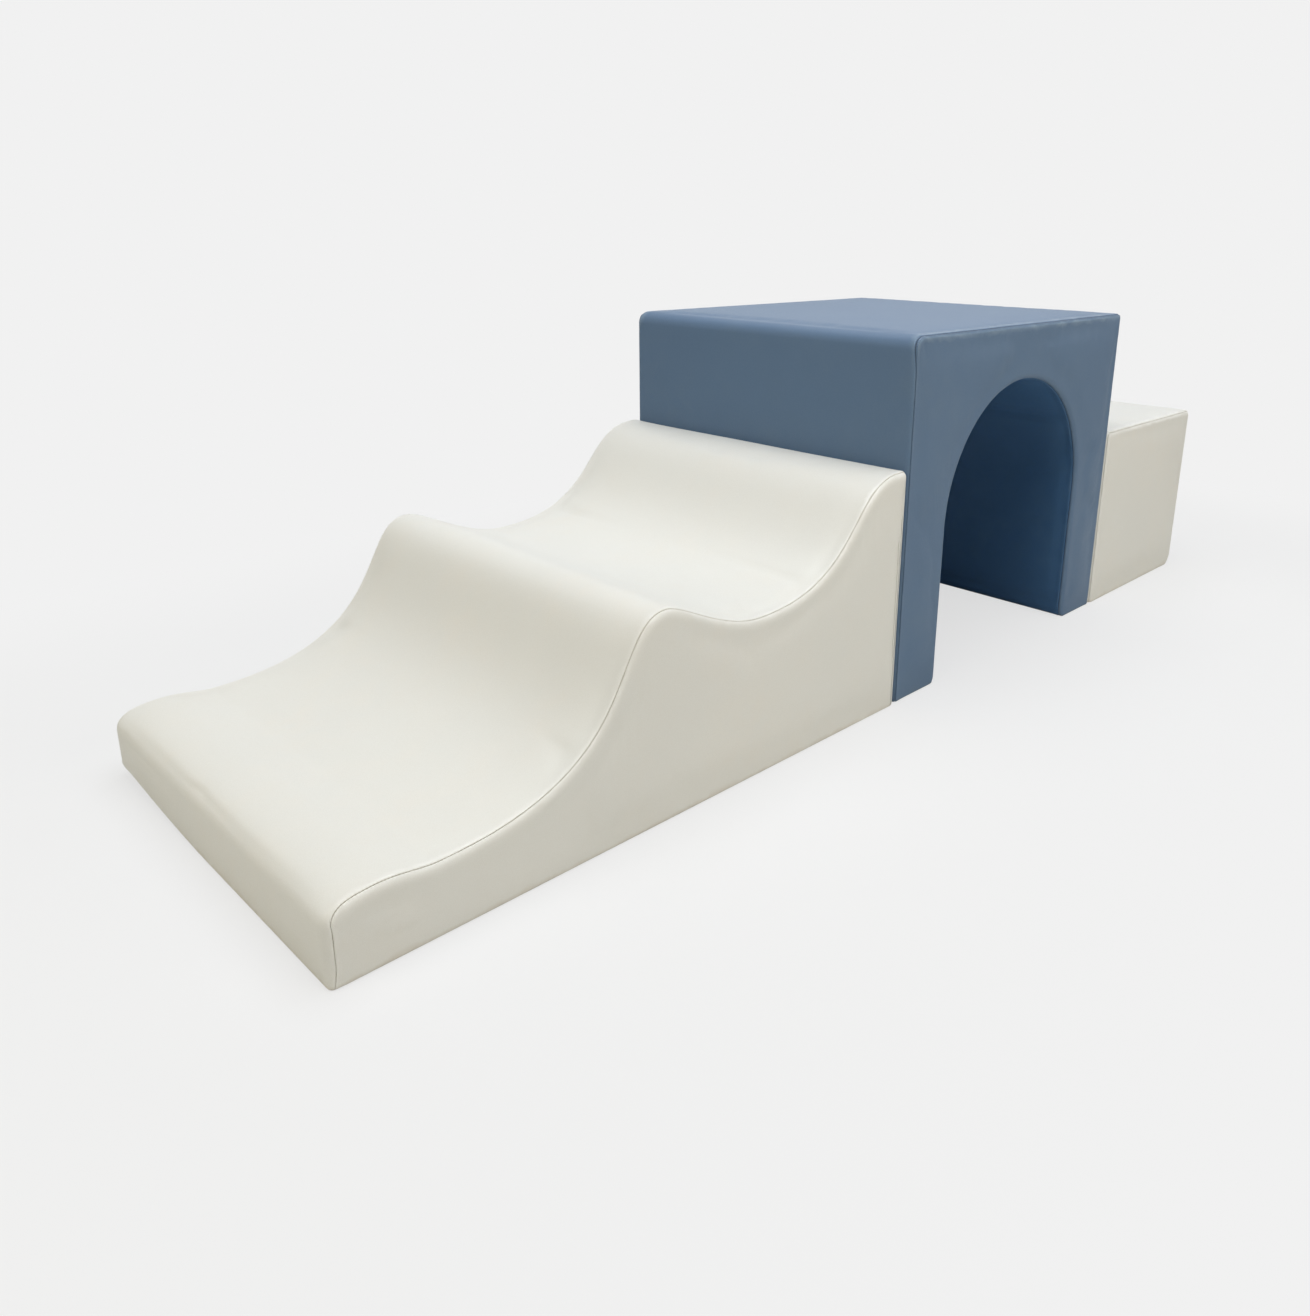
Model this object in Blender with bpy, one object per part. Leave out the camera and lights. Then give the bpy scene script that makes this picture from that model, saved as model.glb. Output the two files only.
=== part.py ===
# Soft climbing playset: a wave ramp, a crawl-through tunnel and a step, stood in one row.
# Lengths are in metres. X runs along the row from the ramp's low end, Y across it, Z up.
# The origin is on the floor, under the middle of the row.

import math

import bmesh
import bpy

# Cover leather and the clearances between sewn or touching pieces
LEATHER = 0.0012
GAP = 0.0003
COVER_LIFT = 0.0005
SEAM_DIP = 0.0007
LEAST_RADIUS = 0.0006

# Wave ramp: distances along it, from the low end to the back
NOSE_REACH = 0.0686
NOSE_TO_DIP = 0.0654
FIRST_RISE = 0.3380
FALL = 0.1816
SECOND_RISE = 0.3134
TOP_LANDING = 0.0170

# Wave ramp: heights of the same places
NOSE_STRAIGHT = 0.0703
NOSE_HEIGHT = 0.0995
FIRST_DIP_HEIGHT = 0.0922
MID_CREST_HEIGHT = 0.2969
SECOND_DIP_HEIGHT = 0.2396
TOP_CREST_HEIGHT = 0.3949

# Wave ramp: how hard the curve pulls level at the start and end of each stretch
NOSE_PULL = (0.70, 0.63)
NOSE_TO_DIP_PULL = (0.30, 0.20)
FIRST_RISE_PULL = (0.888, 0.272)
FALL_PULL = (0.178, 0.410)
SECOND_RISE_PULL = (0.709, 0.393)

RAMP_WIDTH = 0.636
RAMP_BACK_RADIUS = 0.0105
RAMP_EDGE_RADIUS = 0.009
RAMP_SEAM_ANGLE = math.radians(24)

# Tunnel block
TUNNEL_LENGTH = 0.700
TUNNEL_WIDTH = 0.630
TUNNEL_HEIGHT = 0.600
TUNNEL_CORNER_RADIUS = 0.022
TUNNEL_EDGE_RADIUS = 0.008
TUNNEL_SEAM_ANGLE = math.radians(58)
ARCH_WIDTH = 0.456
ARCH_SPRING_HEIGHT = 0.276
ARCH_LIP_RADIUS = 0.012
ARCH_SEAM_ANGLE = math.radians(22)
FOOT_CORNER_RADIUS = 0.015

# Step block
STEP_LENGTH = 0.416
STEP_WIDTH = 0.632
STEP_HEIGHT = 0.366
STEP_CORNER_RADIUS = 0.014
STEP_HEEL_RADIUS = 0.028
STEP_EDGE_RADIUS = 0.009
STEP_SEAM_ANGLE = math.radians(40)

# Hook-and-loop strips between the blocks
STRIP_THICKNESS = 0.0012
STRIP_WIDTH = 0.050
STRIP_LENGTH = 0.450
STRIP_FOOT = 0.220

# Zips in the bases
RAMP_ZIP_LENGTH = 0.760
TUNNEL_ZIP_LENGTH = 0.500
STEP_ZIP_LENGTH = 0.480
TAPE_WIDTH = 0.014
TAPE_THICKNESS = 0.0006
COIL_RADIUS = 0.0011
COIL_SPLIT = 0.0012
STOP_LENGTH = 0.004
STOP_THICKNESS = 0.0026
TAPE_TACK = 0.006
SLOT_WIDTH = 0.016
HEM_WIDTH = 0.004
SLOT_SPARE = 0.006
CHANNEL_ROOF = 0.0013

# Zip slider and its pull
FLOOR_CLEARANCE = 0.0004
RUN_GAP = 0.0004
SLIDER_LENGTH = 0.013
SLIDER_WIDTH = 0.0095
SLIDER_PLATE = 0.0010
SLIDER_WEB = 0.0006
LUG_THICKNESS = 0.0010
LUG_LENGTH = 0.0026
LUG_END = 0.0004
PIN_RADIUS = 0.0006
EYE_BORE = 0.0009
EYE_RADIUS = 0.0015
EYE_WIDTH = 0.0042
PIVOT_OFFSET = 0.003
PULL_LENGTH = 0.024
PULL_WIDTH = 0.007
PULL_THICKNESS = 0.0012
PULL_HOLE_RADIUS = 0.0016
PULL_HOLE_INSET = 0.0045

# How finely curves are cut into flats
WAVE_STEPS = 9
CORNER_STEPS = 5
ARCH_STEPS = 26
ROUND_STEPS = 16
ROLL_STEPS = 3

# Sizes that follow from the ones above
RAMP_LENGTH = NOSE_REACH + NOSE_TO_DIP + FIRST_RISE + FALL + SECOND_RISE + TOP_LANDING
JOINT_SPACE = 2 * STRIP_THICKNESS + 3 * GAP
ROW_LENGTH = RAMP_LENGTH + TUNNEL_LENGTH + STEP_LENGTH + 2 * JOINT_SPACE
RAMP_START = -ROW_LENGTH / 2
TUNNEL_START = RAMP_START + RAMP_LENGTH + JOINT_SPACE
STEP_START = TUNNEL_START + TUNNEL_LENGTH + JOINT_SPACE
ARCH_LEFT = (TUNNEL_LENGTH - ARCH_WIDTH) / 2
ARCH_RIGHT = ARCH_LEFT + ARCH_WIDTH
ARCH_RADIUS = ARCH_WIDTH / 2
BASE_THICKNESS = COVER_LIFT + LEATHER
FOAM_DEPTH = LEATHER + GAP

# Heights inside a zip, from the floor up
PIVOT_HEIGHT = FLOOR_CLEARANCE + EYE_RADIUS
LOW_PLATE = PIVOT_HEIGHT + EYE_RADIUS + GAP
COIL_HEIGHT = LOW_PLATE + SLIDER_PLATE + RUN_GAP + COIL_RADIUS
HIGH_PLATE = COIL_HEIGHT + COIL_RADIUS + RUN_GAP
TAPE_HEIGHT = COIL_HEIGHT - TAPE_THICKNESS / 2
HEM_HEIGHT = TAPE_HEIGHT - GAP
CHANNEL_HEIGHT = HIGH_PLATE + SLIDER_PLATE + CHANNEL_ROOF
COIL_OFFSET = COIL_SPLIT / 2 + COIL_RADIUS
TAPE_INNER = COIL_OFFSET + COIL_RADIUS + GAP
TAPE_OUTER = TAPE_INNER + TAPE_WIDTH


# Scene and materials

def clear_scene():
    for item in list(bpy.data.objects):
        bpy.data.objects.remove(item, do_unlink=True)


def make_material(name, colour, roughness, metallic=0.0):
    material = bpy.data.materials.new(name)
    material.use_nodes = True
    shader = material.node_tree.nodes["Principled BSDF"]
    shader.inputs["Base Color"].default_value = (*colour, 1.0)
    shader.inputs["Roughness"].default_value = roughness
    shader.inputs["Metallic"].default_value = metallic
    return material


def add_empty(name, parent=None, location=(0, 0, 0), turn=0.0):
    empty = bpy.data.objects.new(name, None)
    bpy.context.scene.collection.objects.link(empty)
    empty.location = location
    empty.rotation_euler = (0, 0, turn)
    empty.parent = parent
    return empty


def add_piece(name, mesh, look, parent, location=(0, 0, 0)):
    colour, roughness, metallic = look
    piece = bpy.data.objects.new(name, mesh)
    bpy.context.scene.collection.objects.link(piece)
    piece.location = location
    piece.parent = parent
    piece.data.materials.clear()
    piece.data.materials.append(make_material(name, colour, roughness, metallic))
    piece.data.shade_smooth()
    piece.data.set_sharp_from_angle(angle=math.radians(32))
    return piece


def finish_mesh(bm, name):
    bmesh.ops.recalc_face_normals(bm, faces=bm.faces[:])
    mesh = bpy.data.meshes.new(name)
    bm.to_mesh(mesh)
    bm.free()
    return mesh


# Small solids

def add_box(bm, low, high):
    made = bmesh.ops.create_cube(bm, size=1.0)
    size = [high[axis] - low[axis] for axis in range(3)]
    middle = [(high[axis] + low[axis]) / 2 for axis in range(3)]
    bmesh.ops.scale(bm, vec=size, verts=made["verts"])
    bmesh.ops.translate(bm, vec=middle, verts=made["verts"])


def box_mesh(name, low, high):
    bm = bmesh.new()
    add_box(bm, low, high)
    return finish_mesh(bm, name)


def prism_mesh(name, outline, start, along):
    # A flat outline, given as points in space, pushed out along one direction
    bm = bmesh.new()
    corners = [bm.verts.new([point[axis] + start[axis] for axis in range(3)]) for point in outline]
    face = bm.faces.new(corners)
    grown = bmesh.ops.extrude_face_region(bm, geom=[face])
    moved = [item for item in grown["geom"] if isinstance(item, bmesh.types.BMVert)]
    bmesh.ops.translate(bm, vec=along, verts=moved)
    return finish_mesh(bm, name)


def ring_points(radius, steps):
    angles = [2 * math.pi * step / steps for step in range(steps)]
    return [(radius * math.cos(angle), radius * math.sin(angle)) for angle in angles]


def combine(base, tool, operation):
    # Boolean of two meshes that share one space
    scene = bpy.context.scene
    first = bpy.data.objects.new("first", base)
    second = bpy.data.objects.new("second", tool)
    scene.collection.objects.link(first)
    scene.collection.objects.link(second)
    modifier = first.modifiers.new("combine", "BOOLEAN")
    modifier.operation = operation
    modifier.object = second
    evaluated = first.evaluated_get(bpy.context.evaluated_depsgraph_get())
    result = bpy.data.meshes.new_from_object(evaluated)
    bpy.data.objects.remove(first, do_unlink=True)
    bpy.data.objects.remove(second, do_unlink=True)
    return result


# Sheets and cups that make up a cover

def add_row(bm, points, closed):
    verts = [bm.verts.new(point) for point in points]
    edges = [bm.edges.new(pair) for pair in zip(verts, verts[1:])]
    if closed:
        edges.append(bm.edges.new((verts[-1], verts[0])))
    return edges


def add_sheet(bm, rows, closed=False):
    # Rows of points, each joined to the next one
    loops = [add_row(bm, row, closed) for row in rows]
    for first, second in zip(loops, loops[1:]):
        bmesh.ops.bridge_loops(bm, edges=first + second)
    return loops


def cap_loop(bm, loop):
    bmesh.ops.contextual_create(bm, geom=loop)


def close_rim(bm):
    # Joins the free edge of an outer skin to the free edge of its inner skin
    rim = [edge for edge in bm.edges if edge.is_boundary]
    bmesh.ops.bridge_loops(bm, edges=rim)


# The rounded edge where a wrapped cover meets a side panel

def roll_point(radius, depth, angle):
    # How far a point lies in from the outline and from the side face.
    # Angle 0 is at the wrap, a quarter turn is at the side; depth is how far under the skin it is.
    arm = radius - depth
    return radius - arm * math.cos(angle), radius - arm * math.sin(angle)


def roll_angles(start, end):
    return [start + (end - start) * step / ROLL_STEPS for step in range(ROLL_STEPS + 1)]


def wrap_roll(radius, seam_angle, depth, dip):
    # From the flat of the wrap to the seam, where the leather is pulled in
    half_gap = GAP / 2 / (radius - LEATHER)
    angles = roll_angles(0, seam_angle - half_gap)
    points = [roll_point(radius, depth, angle) for angle in angles[:-1]]
    points.append(roll_point(radius, depth + dip, angles[-1]))
    return points


def side_roll(radius, seam_angle, depth, dip):
    # From the seam to the flat of the side face
    half_gap = GAP / 2 / (radius - LEATHER)
    angles = roll_angles(seam_angle + half_gap, math.pi / 2)
    points = [roll_point(radius, depth + dip, angles[0])]
    points.extend(roll_point(radius, depth, angle) for angle in angles[1:])
    return points


def full_roll(radius, depth):
    return [roll_point(radius, depth, angle) for angle in roll_angles(0, math.pi / 2)]


# Curves in the side view, as lists of (x, z)

def arc(centre, radius, start, end, steps):
    points = []
    for step in range(steps + 1):
        angle = math.radians(start + (end - start) * step / steps)
        points.append((centre[0] + radius * math.cos(angle), centre[1] + radius * math.sin(angle)))
    return points


def bend(a, b, c, d, share):
    # Place and direction on a smooth curve from a to d that leaves towards b and arrives from c
    rest = 1 - share
    weights = (rest ** 3, 3 * rest ** 2 * share, 3 * rest * share ** 2, share ** 3)
    place = [sum(weight * point[axis] for weight, point in zip(weights, (a, b, c, d))) for axis in (0, 1)]
    speeds = (rest ** 2, 2 * rest * share, share ** 2)
    legs = [(b[axis] - a[axis], c[axis] - b[axis], d[axis] - c[axis]) for axis in (0, 1)]
    heading = [sum(speed * leg for speed, leg in zip(speeds, legs[axis])) for axis in (0, 1)]
    return place, heading


def bent_line(a, b, c, d, inset, steps, first):
    # The same curve, moved to its right hand side by the inset
    points = []
    for step in range(first, steps + 1):
        place, heading = bend(a, b, c, d, step / steps)
        length = math.hypot(*heading)
        points.append((place[0] + inset * heading[1] / length, place[1] - inset * heading[0] / length))
    return points


def nose_curve(inset):
    rise = NOSE_HEIGHT - NOSE_STRAIGHT
    start = (0, NOSE_STRAIGHT)
    lift = (0, NOSE_STRAIGHT + NOSE_PULL[0] * rise)
    lead = (NOSE_REACH * (1 - NOSE_PULL[1]), NOSE_HEIGHT)
    return bent_line(start, lift, lead, (NOSE_REACH, NOSE_HEIGHT), inset, WAVE_STEPS, 0)


def wave_curve(inset):
    # The four stretches between the nose, the dips and the crests, level where they meet
    stretches = (
        (NOSE_TO_DIP, NOSE_HEIGHT, FIRST_DIP_HEIGHT, NOSE_TO_DIP_PULL, 3),
        (FIRST_RISE, FIRST_DIP_HEIGHT, MID_CREST_HEIGHT, FIRST_RISE_PULL, WAVE_STEPS + 2),
        (FALL, MID_CREST_HEIGHT, SECOND_DIP_HEIGHT, FALL_PULL, WAVE_STEPS - 2),
        (SECOND_RISE, SECOND_DIP_HEIGHT, TOP_CREST_HEIGHT, SECOND_RISE_PULL, WAVE_STEPS),
    )
    points = []
    along = NOSE_REACH
    for length, start, end, pull, steps in stretches:
        leave = (along + pull[0] * length, start)
        arrive = (along + length * (1 - pull[1]), end)
        points.extend(bent_line((along, start), leave, arrive, (along + length, end), inset, steps, 1))
        along += length
    return points


def ramp_wrap(inset, floor):
    # From the front edge on the floor, over the wave, to the back edge on the floor
    radius = max(RAMP_BACK_RADIUS - inset, LEAST_RADIUS)
    back = RAMP_LENGTH - inset
    top = TOP_CREST_HEIGHT - inset
    points = [(inset, floor)]
    points.extend(nose_curve(inset))
    points.extend(wave_curve(inset))
    points.extend(arc((back - radius, top - radius), radius, 90, 0, CORNER_STEPS))
    points.append((back, floor))
    return points


def tunnel_wrap(inset, floor):
    radius = max(TUNNEL_CORNER_RADIUS - inset, LEAST_RADIUS)
    top = TUNNEL_HEIGHT - inset
    back = TUNNEL_LENGTH - inset
    points = [(inset, floor)]
    points.extend(arc((inset + radius, top - radius), radius, 180, 90, CORNER_STEPS))
    points.extend(arc((back - radius, top - radius), radius, 90, 0, CORNER_STEPS))
    points.append((back, floor))
    return points


def tunnel_arch(inset, floor):
    # The inside of the tunnel, from the rear foot, over the arch, to the front foot
    radius = max(FOOT_CORNER_RADIUS - inset, LEAST_RADIUS)
    left = ARCH_LEFT - inset
    right = ARCH_RIGHT + inset
    middle = (ARCH_LEFT + ARCH_RADIUS, ARCH_SPRING_HEIGHT)
    points = arc((right + radius, floor + radius), radius, 270, 180, CORNER_STEPS)
    points.extend(arc(middle, ARCH_RADIUS + inset, 0, 180, ARCH_STEPS))
    points.extend(arc((left - radius, floor + radius), radius, 0, -90, CORNER_STEPS))
    return points


def step_wrap(inset, floor):
    # Up the front, over the top, down the back and under the rounded heel
    radius = max(STEP_CORNER_RADIUS - inset, LEAST_RADIUS)
    heel = max(STEP_HEEL_RADIUS - inset, LEAST_RADIUS)
    top = STEP_HEIGHT - inset
    back = STEP_LENGTH - inset
    points = [(inset, floor)]
    points.extend(arc((inset + radius, top - radius), radius, 180, 90, CORNER_STEPS))
    points.extend(arc((back - radius, top - radius), radius, 90, 0, CORNER_STEPS))
    points.extend(arc((back - heel, floor + heel), heel, 0, -90, CORNER_STEPS))
    return points


def place_row(points, across):
    return [(x, across, z) for x, z in points]


# Covers and cores

def wrap_mesh(name, outline, width, radius, seam_angle):
    # One length of leather that runs over the block, with its two edges rolled towards the sides
    bm = bmesh.new()
    for depth, dip in ((0, SEAM_DIP), (LEATHER, 0)):
        roll = wrap_roll(radius, seam_angle, depth, dip)
        floor = COVER_LIFT + depth
        near = [place_row(outline(inset, floor), side - width / 2) for inset, side in reversed(roll)]
        far = [place_row(outline(inset, floor), width / 2 - side) for inset, side in roll]
        add_sheet(bm, near + far)
    close_rim(bm)
    return finish_mesh(bm, name)


def panel_rows(paths, rolls, floor, width, hand):
    # Rings of a side panel: each path keeps its own rolled edge
    rows = []
    for stage in range(ROLL_STEPS + 1):
        row = []
        for path, roll in zip(paths, rolls):
            inset, side = roll[stage]
            row.extend(place_row(path(inset, floor), hand * (width / 2 - side)))
        rows.append(row)
    return rows


def panel_mesh(name, paths, edges, width, hand):
    # A flat side panel whose border turns in to the seams
    bm = bmesh.new()
    for depth, dip in ((0, SEAM_DIP), (LEATHER, 0)):
        rolls = [side_roll(radius, seam_angle, depth, dip) for radius, seam_angle in edges]
        loops = add_sheet(bm, panel_rows(paths, rolls, COVER_LIFT + depth, width, hand), closed=True)
        cap_loop(bm, loops[-1])
    close_rim(bm)
    return finish_mesh(bm, name)


def core_mesh(name, paths, edges, width):
    # The foam block, a little inside its cover all round
    bm = bmesh.new()
    rolls = [full_roll(radius, FOAM_DEPTH) for radius, seam_angle in edges]
    floor = COVER_LIFT + FOAM_DEPTH
    near = panel_rows(paths, rolls, floor, width, -1)
    far = panel_rows(paths, rolls, floor, width, 1)
    loops = add_sheet(bm, near[::-1] + far, closed=True)
    cap_loop(bm, loops[0])
    cap_loop(bm, loops[-1])
    return finish_mesh(bm, name)


# Zips

def zip_frame_boxes(length):
    # Half sizes of the slot, the turned-up hem round it and the channel in the foam above it
    slot = (length / 2 + PULL_LENGTH + SLOT_SPARE, SLOT_WIDTH / 2)
    hem = (slot[0] + HEM_WIDTH, slot[1] + HEM_WIDTH)
    channel = (hem[0] + 2 * GAP, max(hem[1], TAPE_OUTER) + 2 * GAP)
    return slot, hem, channel


def centred_box(name, half, low, high, place, turned):
    along, across = (half[1], half[0]) if turned else half
    return box_mesh(name, (place - along, -across, low), (place + along, across, high))


def base_mesh(name, start, end, half_width, zip_place, zip_length, turned):
    # Non-slip base panel with a slot for its zip, whose edge is turned up as a hem
    slot, hem, channel = zip_frame_boxes(zip_length)
    panel = box_mesh(name, (start, -half_width, 0), (end, half_width, BASE_THICKNESS))
    frame = centred_box("hem", hem, BASE_THICKNESS / 2, HEM_HEIGHT, zip_place, turned)
    cut = centred_box("slot", slot, -BASE_THICKNESS, HEM_HEIGHT + BASE_THICKNESS, zip_place, turned)
    raised = combine(panel, frame, "UNION")
    return combine(raised, cut, "DIFFERENCE")


def cut_channel(core, zip_place, zip_length, turned):
    channel = zip_frame_boxes(zip_length)[2]
    cut = centred_box("channel", channel, 0, CHANNEL_HEIGHT, zip_place, turned)
    return combine(core, cut, "DIFFERENCE")


def tape_mesh(length):
    # The two tapes, tacked together past both ends of the coils
    slit = length / 2 + STOP_LENGTH + GAP
    half = slit + TAPE_TACK
    top = TAPE_HEIGHT + TAPE_THICKNESS
    tape = box_mesh("tape", (-half, -TAPE_OUTER, TAPE_HEIGHT), (half, TAPE_OUTER, top))
    low = (-slit, -TAPE_INNER, TAPE_HEIGHT - TAPE_THICKNESS)
    cut = box_mesh("slit", low, (slit, TAPE_INNER, top + TAPE_THICKNESS))
    return combine(tape, cut, "DIFFERENCE")


def chain_mesh(length):
    # Two closed coils side by side, held at both ends by a stop
    half_width = COIL_OFFSET + COIL_RADIUS
    low = COIL_HEIGHT - STOP_THICKNESS / 2
    high = COIL_HEIGHT + STOP_THICKNESS / 2
    end = (length + STOP_LENGTH) / 2
    section = ring_points(COIL_RADIUS, ROUND_STEPS // 2)
    chain = None
    for hand in (-1, 1):
        outline = [(0, hand * COIL_OFFSET + across, COIL_HEIGHT + up) for across, up in section]
        coil = prism_mesh("coil", outline, (-end, 0, 0), (2 * end, 0, 0))
        stop_ends = sorted((hand * length / 2, hand * (length / 2 + STOP_LENGTH)))
        stop = box_mesh("stop", (stop_ends[0], -half_width, low), (stop_ends[1], half_width, high))
        half = combine(coil, stop, "UNION")
        chain = combine(chain, half, "UNION") if chain else half
    return chain


def bar_across(radius, half_width, steps):
    # A round bar along Y through the pull's pivot
    outline = [(x, 0, z) for x, z in ring_points(radius, steps)]
    return prism_mesh("bar", outline, (0, -half_width, 0), (0, 2 * half_width, 0))


def slider_mesh():
    # Two plates joined by a thin web between the coils, with two lugs and a pin for the pull.
    # Its own origin is on the pull's pivot.
    start = -SLIDER_LENGTH / 2 - PIVOT_OFFSET
    half = SLIDER_WIDTH / 2
    web = SLIDER_WEB / 2
    low = LOW_PLATE - PIVOT_HEIGHT
    high = HIGH_PLATE - PIVOT_HEIGHT
    top = high + SLIDER_PLATE
    low_top = low + SLIDER_PLATE
    right = [(half, low), (half, low_top), (web, low_top), (web, high), (half, high), (half, top)]
    section = right + [(-across, up) for across, up in reversed(right)]
    outline = [(0, across, up) for across, up in section]
    body = prism_mesh("slider", outline, (start, 0, 0), (SLIDER_LENGTH, 0, 0))
    inner = EYE_WIDTH / 2 + GAP
    outer = inner + LUG_THICKNESS
    foot = -PIN_RADIUS - LUG_END
    root = low + SLIDER_PLATE / 2
    for hand in (-1, 1):
        across = sorted((hand * inner, hand * outer))
        lug = box_mesh("lug", (-LUG_LENGTH / 2, across[0], foot), (LUG_LENGTH / 2, across[1], root))
        body = combine(body, lug, "UNION")
    pin = bar_across(PIN_RADIUS, (inner + outer) / 2, ROUND_STEPS)
    return combine(body, pin, "UNION")


def pull_mesh():
    # A tab that widens from the neck, with an eye round the slider's pin; origin on the pivot
    half = PULL_THICKNESS / 2
    neck = EYE_WIDTH / 2
    wide = PULL_WIDTH / 2
    shoulder = 2 * EYE_RADIUS
    tip = PULL_LENGTH - wide
    right = [(0, neck), (shoulder, neck), (2 * shoulder, wide)]
    end = arc((tip, 0), wide, 90, -90, ROUND_STEPS // 2)
    outline = right + end + [(x, -y) for x, y in reversed(right)]
    tab = prism_mesh("pull", [(x, y, 0) for x, y in outline], (0, 0, -half), (0, 0, PULL_THICKNESS))
    eye = bar_across(EYE_RADIUS, neck, ROUND_STEPS)
    bore = bar_across(EYE_BORE, EYE_WIDTH, ROUND_STEPS)
    ring = [(x, y, 0) for x, y in ring_points(PULL_HOLE_RADIUS, ROUND_STEPS)]
    hole_start = (PULL_LENGTH - PULL_HOLE_INSET, 0, -PULL_THICKNESS)
    hole = prism_mesh("hole", ring, hole_start, (0, 0, 2 * PULL_THICKNESS))
    solid = combine(tab, eye, "UNION")
    pierced = combine(solid, bore, "DIFFERENCE")
    return combine(pierced, hole, "DIFFERENCE")


def add_zip(name, parent, place, length, turned, shapes):
    holder = add_empty(name, parent, (place, 0, 0), math.pi / 2 if turned else 0.0)
    add_piece(name + "_tape", tape_mesh(length), TAPE_LOOK, holder)
    add_piece(name + "_chain", chain_mesh(length), COIL_LOOK, holder)
    pivot = -length / 2 + GAP + SLIDER_LENGTH / 2 + PIVOT_OFFSET
    slider = add_piece(name + "_slider", shapes[0].copy(), METAL_LOOK, holder, (pivot, 0, PIVOT_HEIGHT))
    add_piece(name + "_pull", shapes[1].copy(), METAL_LOOK, slider)


# Hook-and-loop strips, level across the faces where two blocks meet

def strip_mesh(start):
    low = (start, -STRIP_LENGTH / 2, STRIP_FOOT)
    return box_mesh("strip", low, (start + STRIP_THICKNESS, STRIP_LENGTH / 2, STRIP_FOOT + STRIP_WIDTH))


# Finishes: colour, roughness, metallic
IVORY_LOOK = ((0.78, 0.765, 0.70), 0.42, 0.0)
BLUE_LOOK = ((0.115, 0.175, 0.245), 0.45, 0.0)
FOAM_LOOK = ((0.62, 0.60, 0.52), 0.95, 0.0)
BASE_LOOK = ((0.10, 0.10, 0.105), 0.85, 0.0)
STRIP_LOOK = ((0.50, 0.49, 0.46), 0.90, 0.0)
TAPE_LOOK = ((0.20, 0.20, 0.21), 0.85, 0.0)
COIL_LOOK = ((0.16, 0.16, 0.17), 0.50, 0.0)
METAL_LOOK = ((0.55, 0.54, 0.52), 0.35, 1.0)


# The three blocks

def seam_depth(radius, seam_angle):
    # How far in from the side face a side panel reaches under the block
    return roll_point(radius, LEATHER, seam_angle)[1]


def seam_inset(radius, seam_angle):
    # How far in from the outline the wrap lies where it is sewn
    return roll_point(radius, LEATHER, seam_angle)[0]


def build_ramp(shapes):
    module = add_empty("ramp_module", None, (RAMP_START, 0, 0))
    edge = [(RAMP_EDGE_RADIUS, RAMP_SEAM_ANGLE)]
    zip_place = RAMP_LENGTH / 2
    core = core_mesh("ramp_core", [ramp_wrap], edge, RAMP_WIDTH)
    core = cut_channel(core, zip_place, RAMP_ZIP_LENGTH, False)
    add_piece("ramp_foam_core", core, FOAM_LOOK, module)
    wrap = wrap_mesh("ramp_wrap", ramp_wrap, RAMP_WIDTH, *edge[0])
    add_piece("ramp_top_cover", wrap, IVORY_LOOK, module)
    for side, hand in (("near", -1), ("far", 1)):
        panel = panel_mesh("ramp_side", [ramp_wrap], edge, RAMP_WIDTH, hand)
        add_piece("ramp_side_panel_" + side, panel, IVORY_LOOK, module)
    half_width = RAMP_WIDTH / 2 - seam_depth(*edge[0]) - GAP
    start = seam_inset(*edge[0]) + GAP
    base = base_mesh("ramp_base", start, RAMP_LENGTH - start, half_width, zip_place, RAMP_ZIP_LENGTH, False)
    add_piece("ramp_base_panel", base, BASE_LOOK, module)
    add_zip("ramp_zip", module, zip_place, RAMP_ZIP_LENGTH, False, shapes)
    add_piece("ramp_loop_strip", strip_mesh(RAMP_LENGTH + GAP), STRIP_LOOK, module)


def build_tunnel(shapes):
    module = add_empty("tunnel_module", None, (TUNNEL_START, 0, 0))
    paths = [tunnel_wrap, tunnel_arch]
    outer_edge = (TUNNEL_EDGE_RADIUS, TUNNEL_SEAM_ANGLE)
    lip_edge = (ARCH_LIP_RADIUS, ARCH_SEAM_ANGLE)
    margin = seam_inset(*outer_edge) + GAP
    feet = (
        ("front", margin, ARCH_LEFT - FOOT_CORNER_RADIUS - GAP),
        ("rear", ARCH_RIGHT + FOOT_CORNER_RADIUS + GAP, TUNNEL_LENGTH - margin),
    )
    core = core_mesh("tunnel_core", paths, [outer_edge, lip_edge], TUNNEL_WIDTH)
    for foot, start, end in feet:
        core = cut_channel(core, (start + end) / 2, TUNNEL_ZIP_LENGTH, True)
    add_piece("tunnel_foam_core", core, FOAM_LOOK, module)
    wrap = wrap_mesh("tunnel_wrap", tunnel_wrap, TUNNEL_WIDTH, *outer_edge)
    add_piece("tunnel_outer_cover", wrap, BLUE_LOOK, module)
    lining = wrap_mesh("tunnel_lining", tunnel_arch, TUNNEL_WIDTH, *lip_edge)
    add_piece("tunnel_arch_lining", lining, BLUE_LOOK, module)
    for side, hand in (("near", -1), ("far", 1)):
        panel = panel_mesh("tunnel_face", paths, [outer_edge, lip_edge], TUNNEL_WIDTH, hand)
        add_piece("tunnel_face_panel_" + side, panel, BLUE_LOOK, module)
    half_width = TUNNEL_WIDTH / 2 - max(seam_depth(*outer_edge), seam_depth(*lip_edge)) - GAP
    for foot, start, end in feet:
        middle = (start + end) / 2
        base = base_mesh("tunnel_base", start, end, half_width, middle, TUNNEL_ZIP_LENGTH, True)
        add_piece("tunnel_base_panel_" + foot, base, BASE_LOOK, module)
        add_zip("tunnel_zip_" + foot, module, middle, TUNNEL_ZIP_LENGTH, True, shapes)
    add_piece("tunnel_hook_strip_front", strip_mesh(-GAP - STRIP_THICKNESS), STRIP_LOOK, module)
    add_piece("tunnel_hook_strip_rear", strip_mesh(TUNNEL_LENGTH + GAP), STRIP_LOOK, module)


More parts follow.
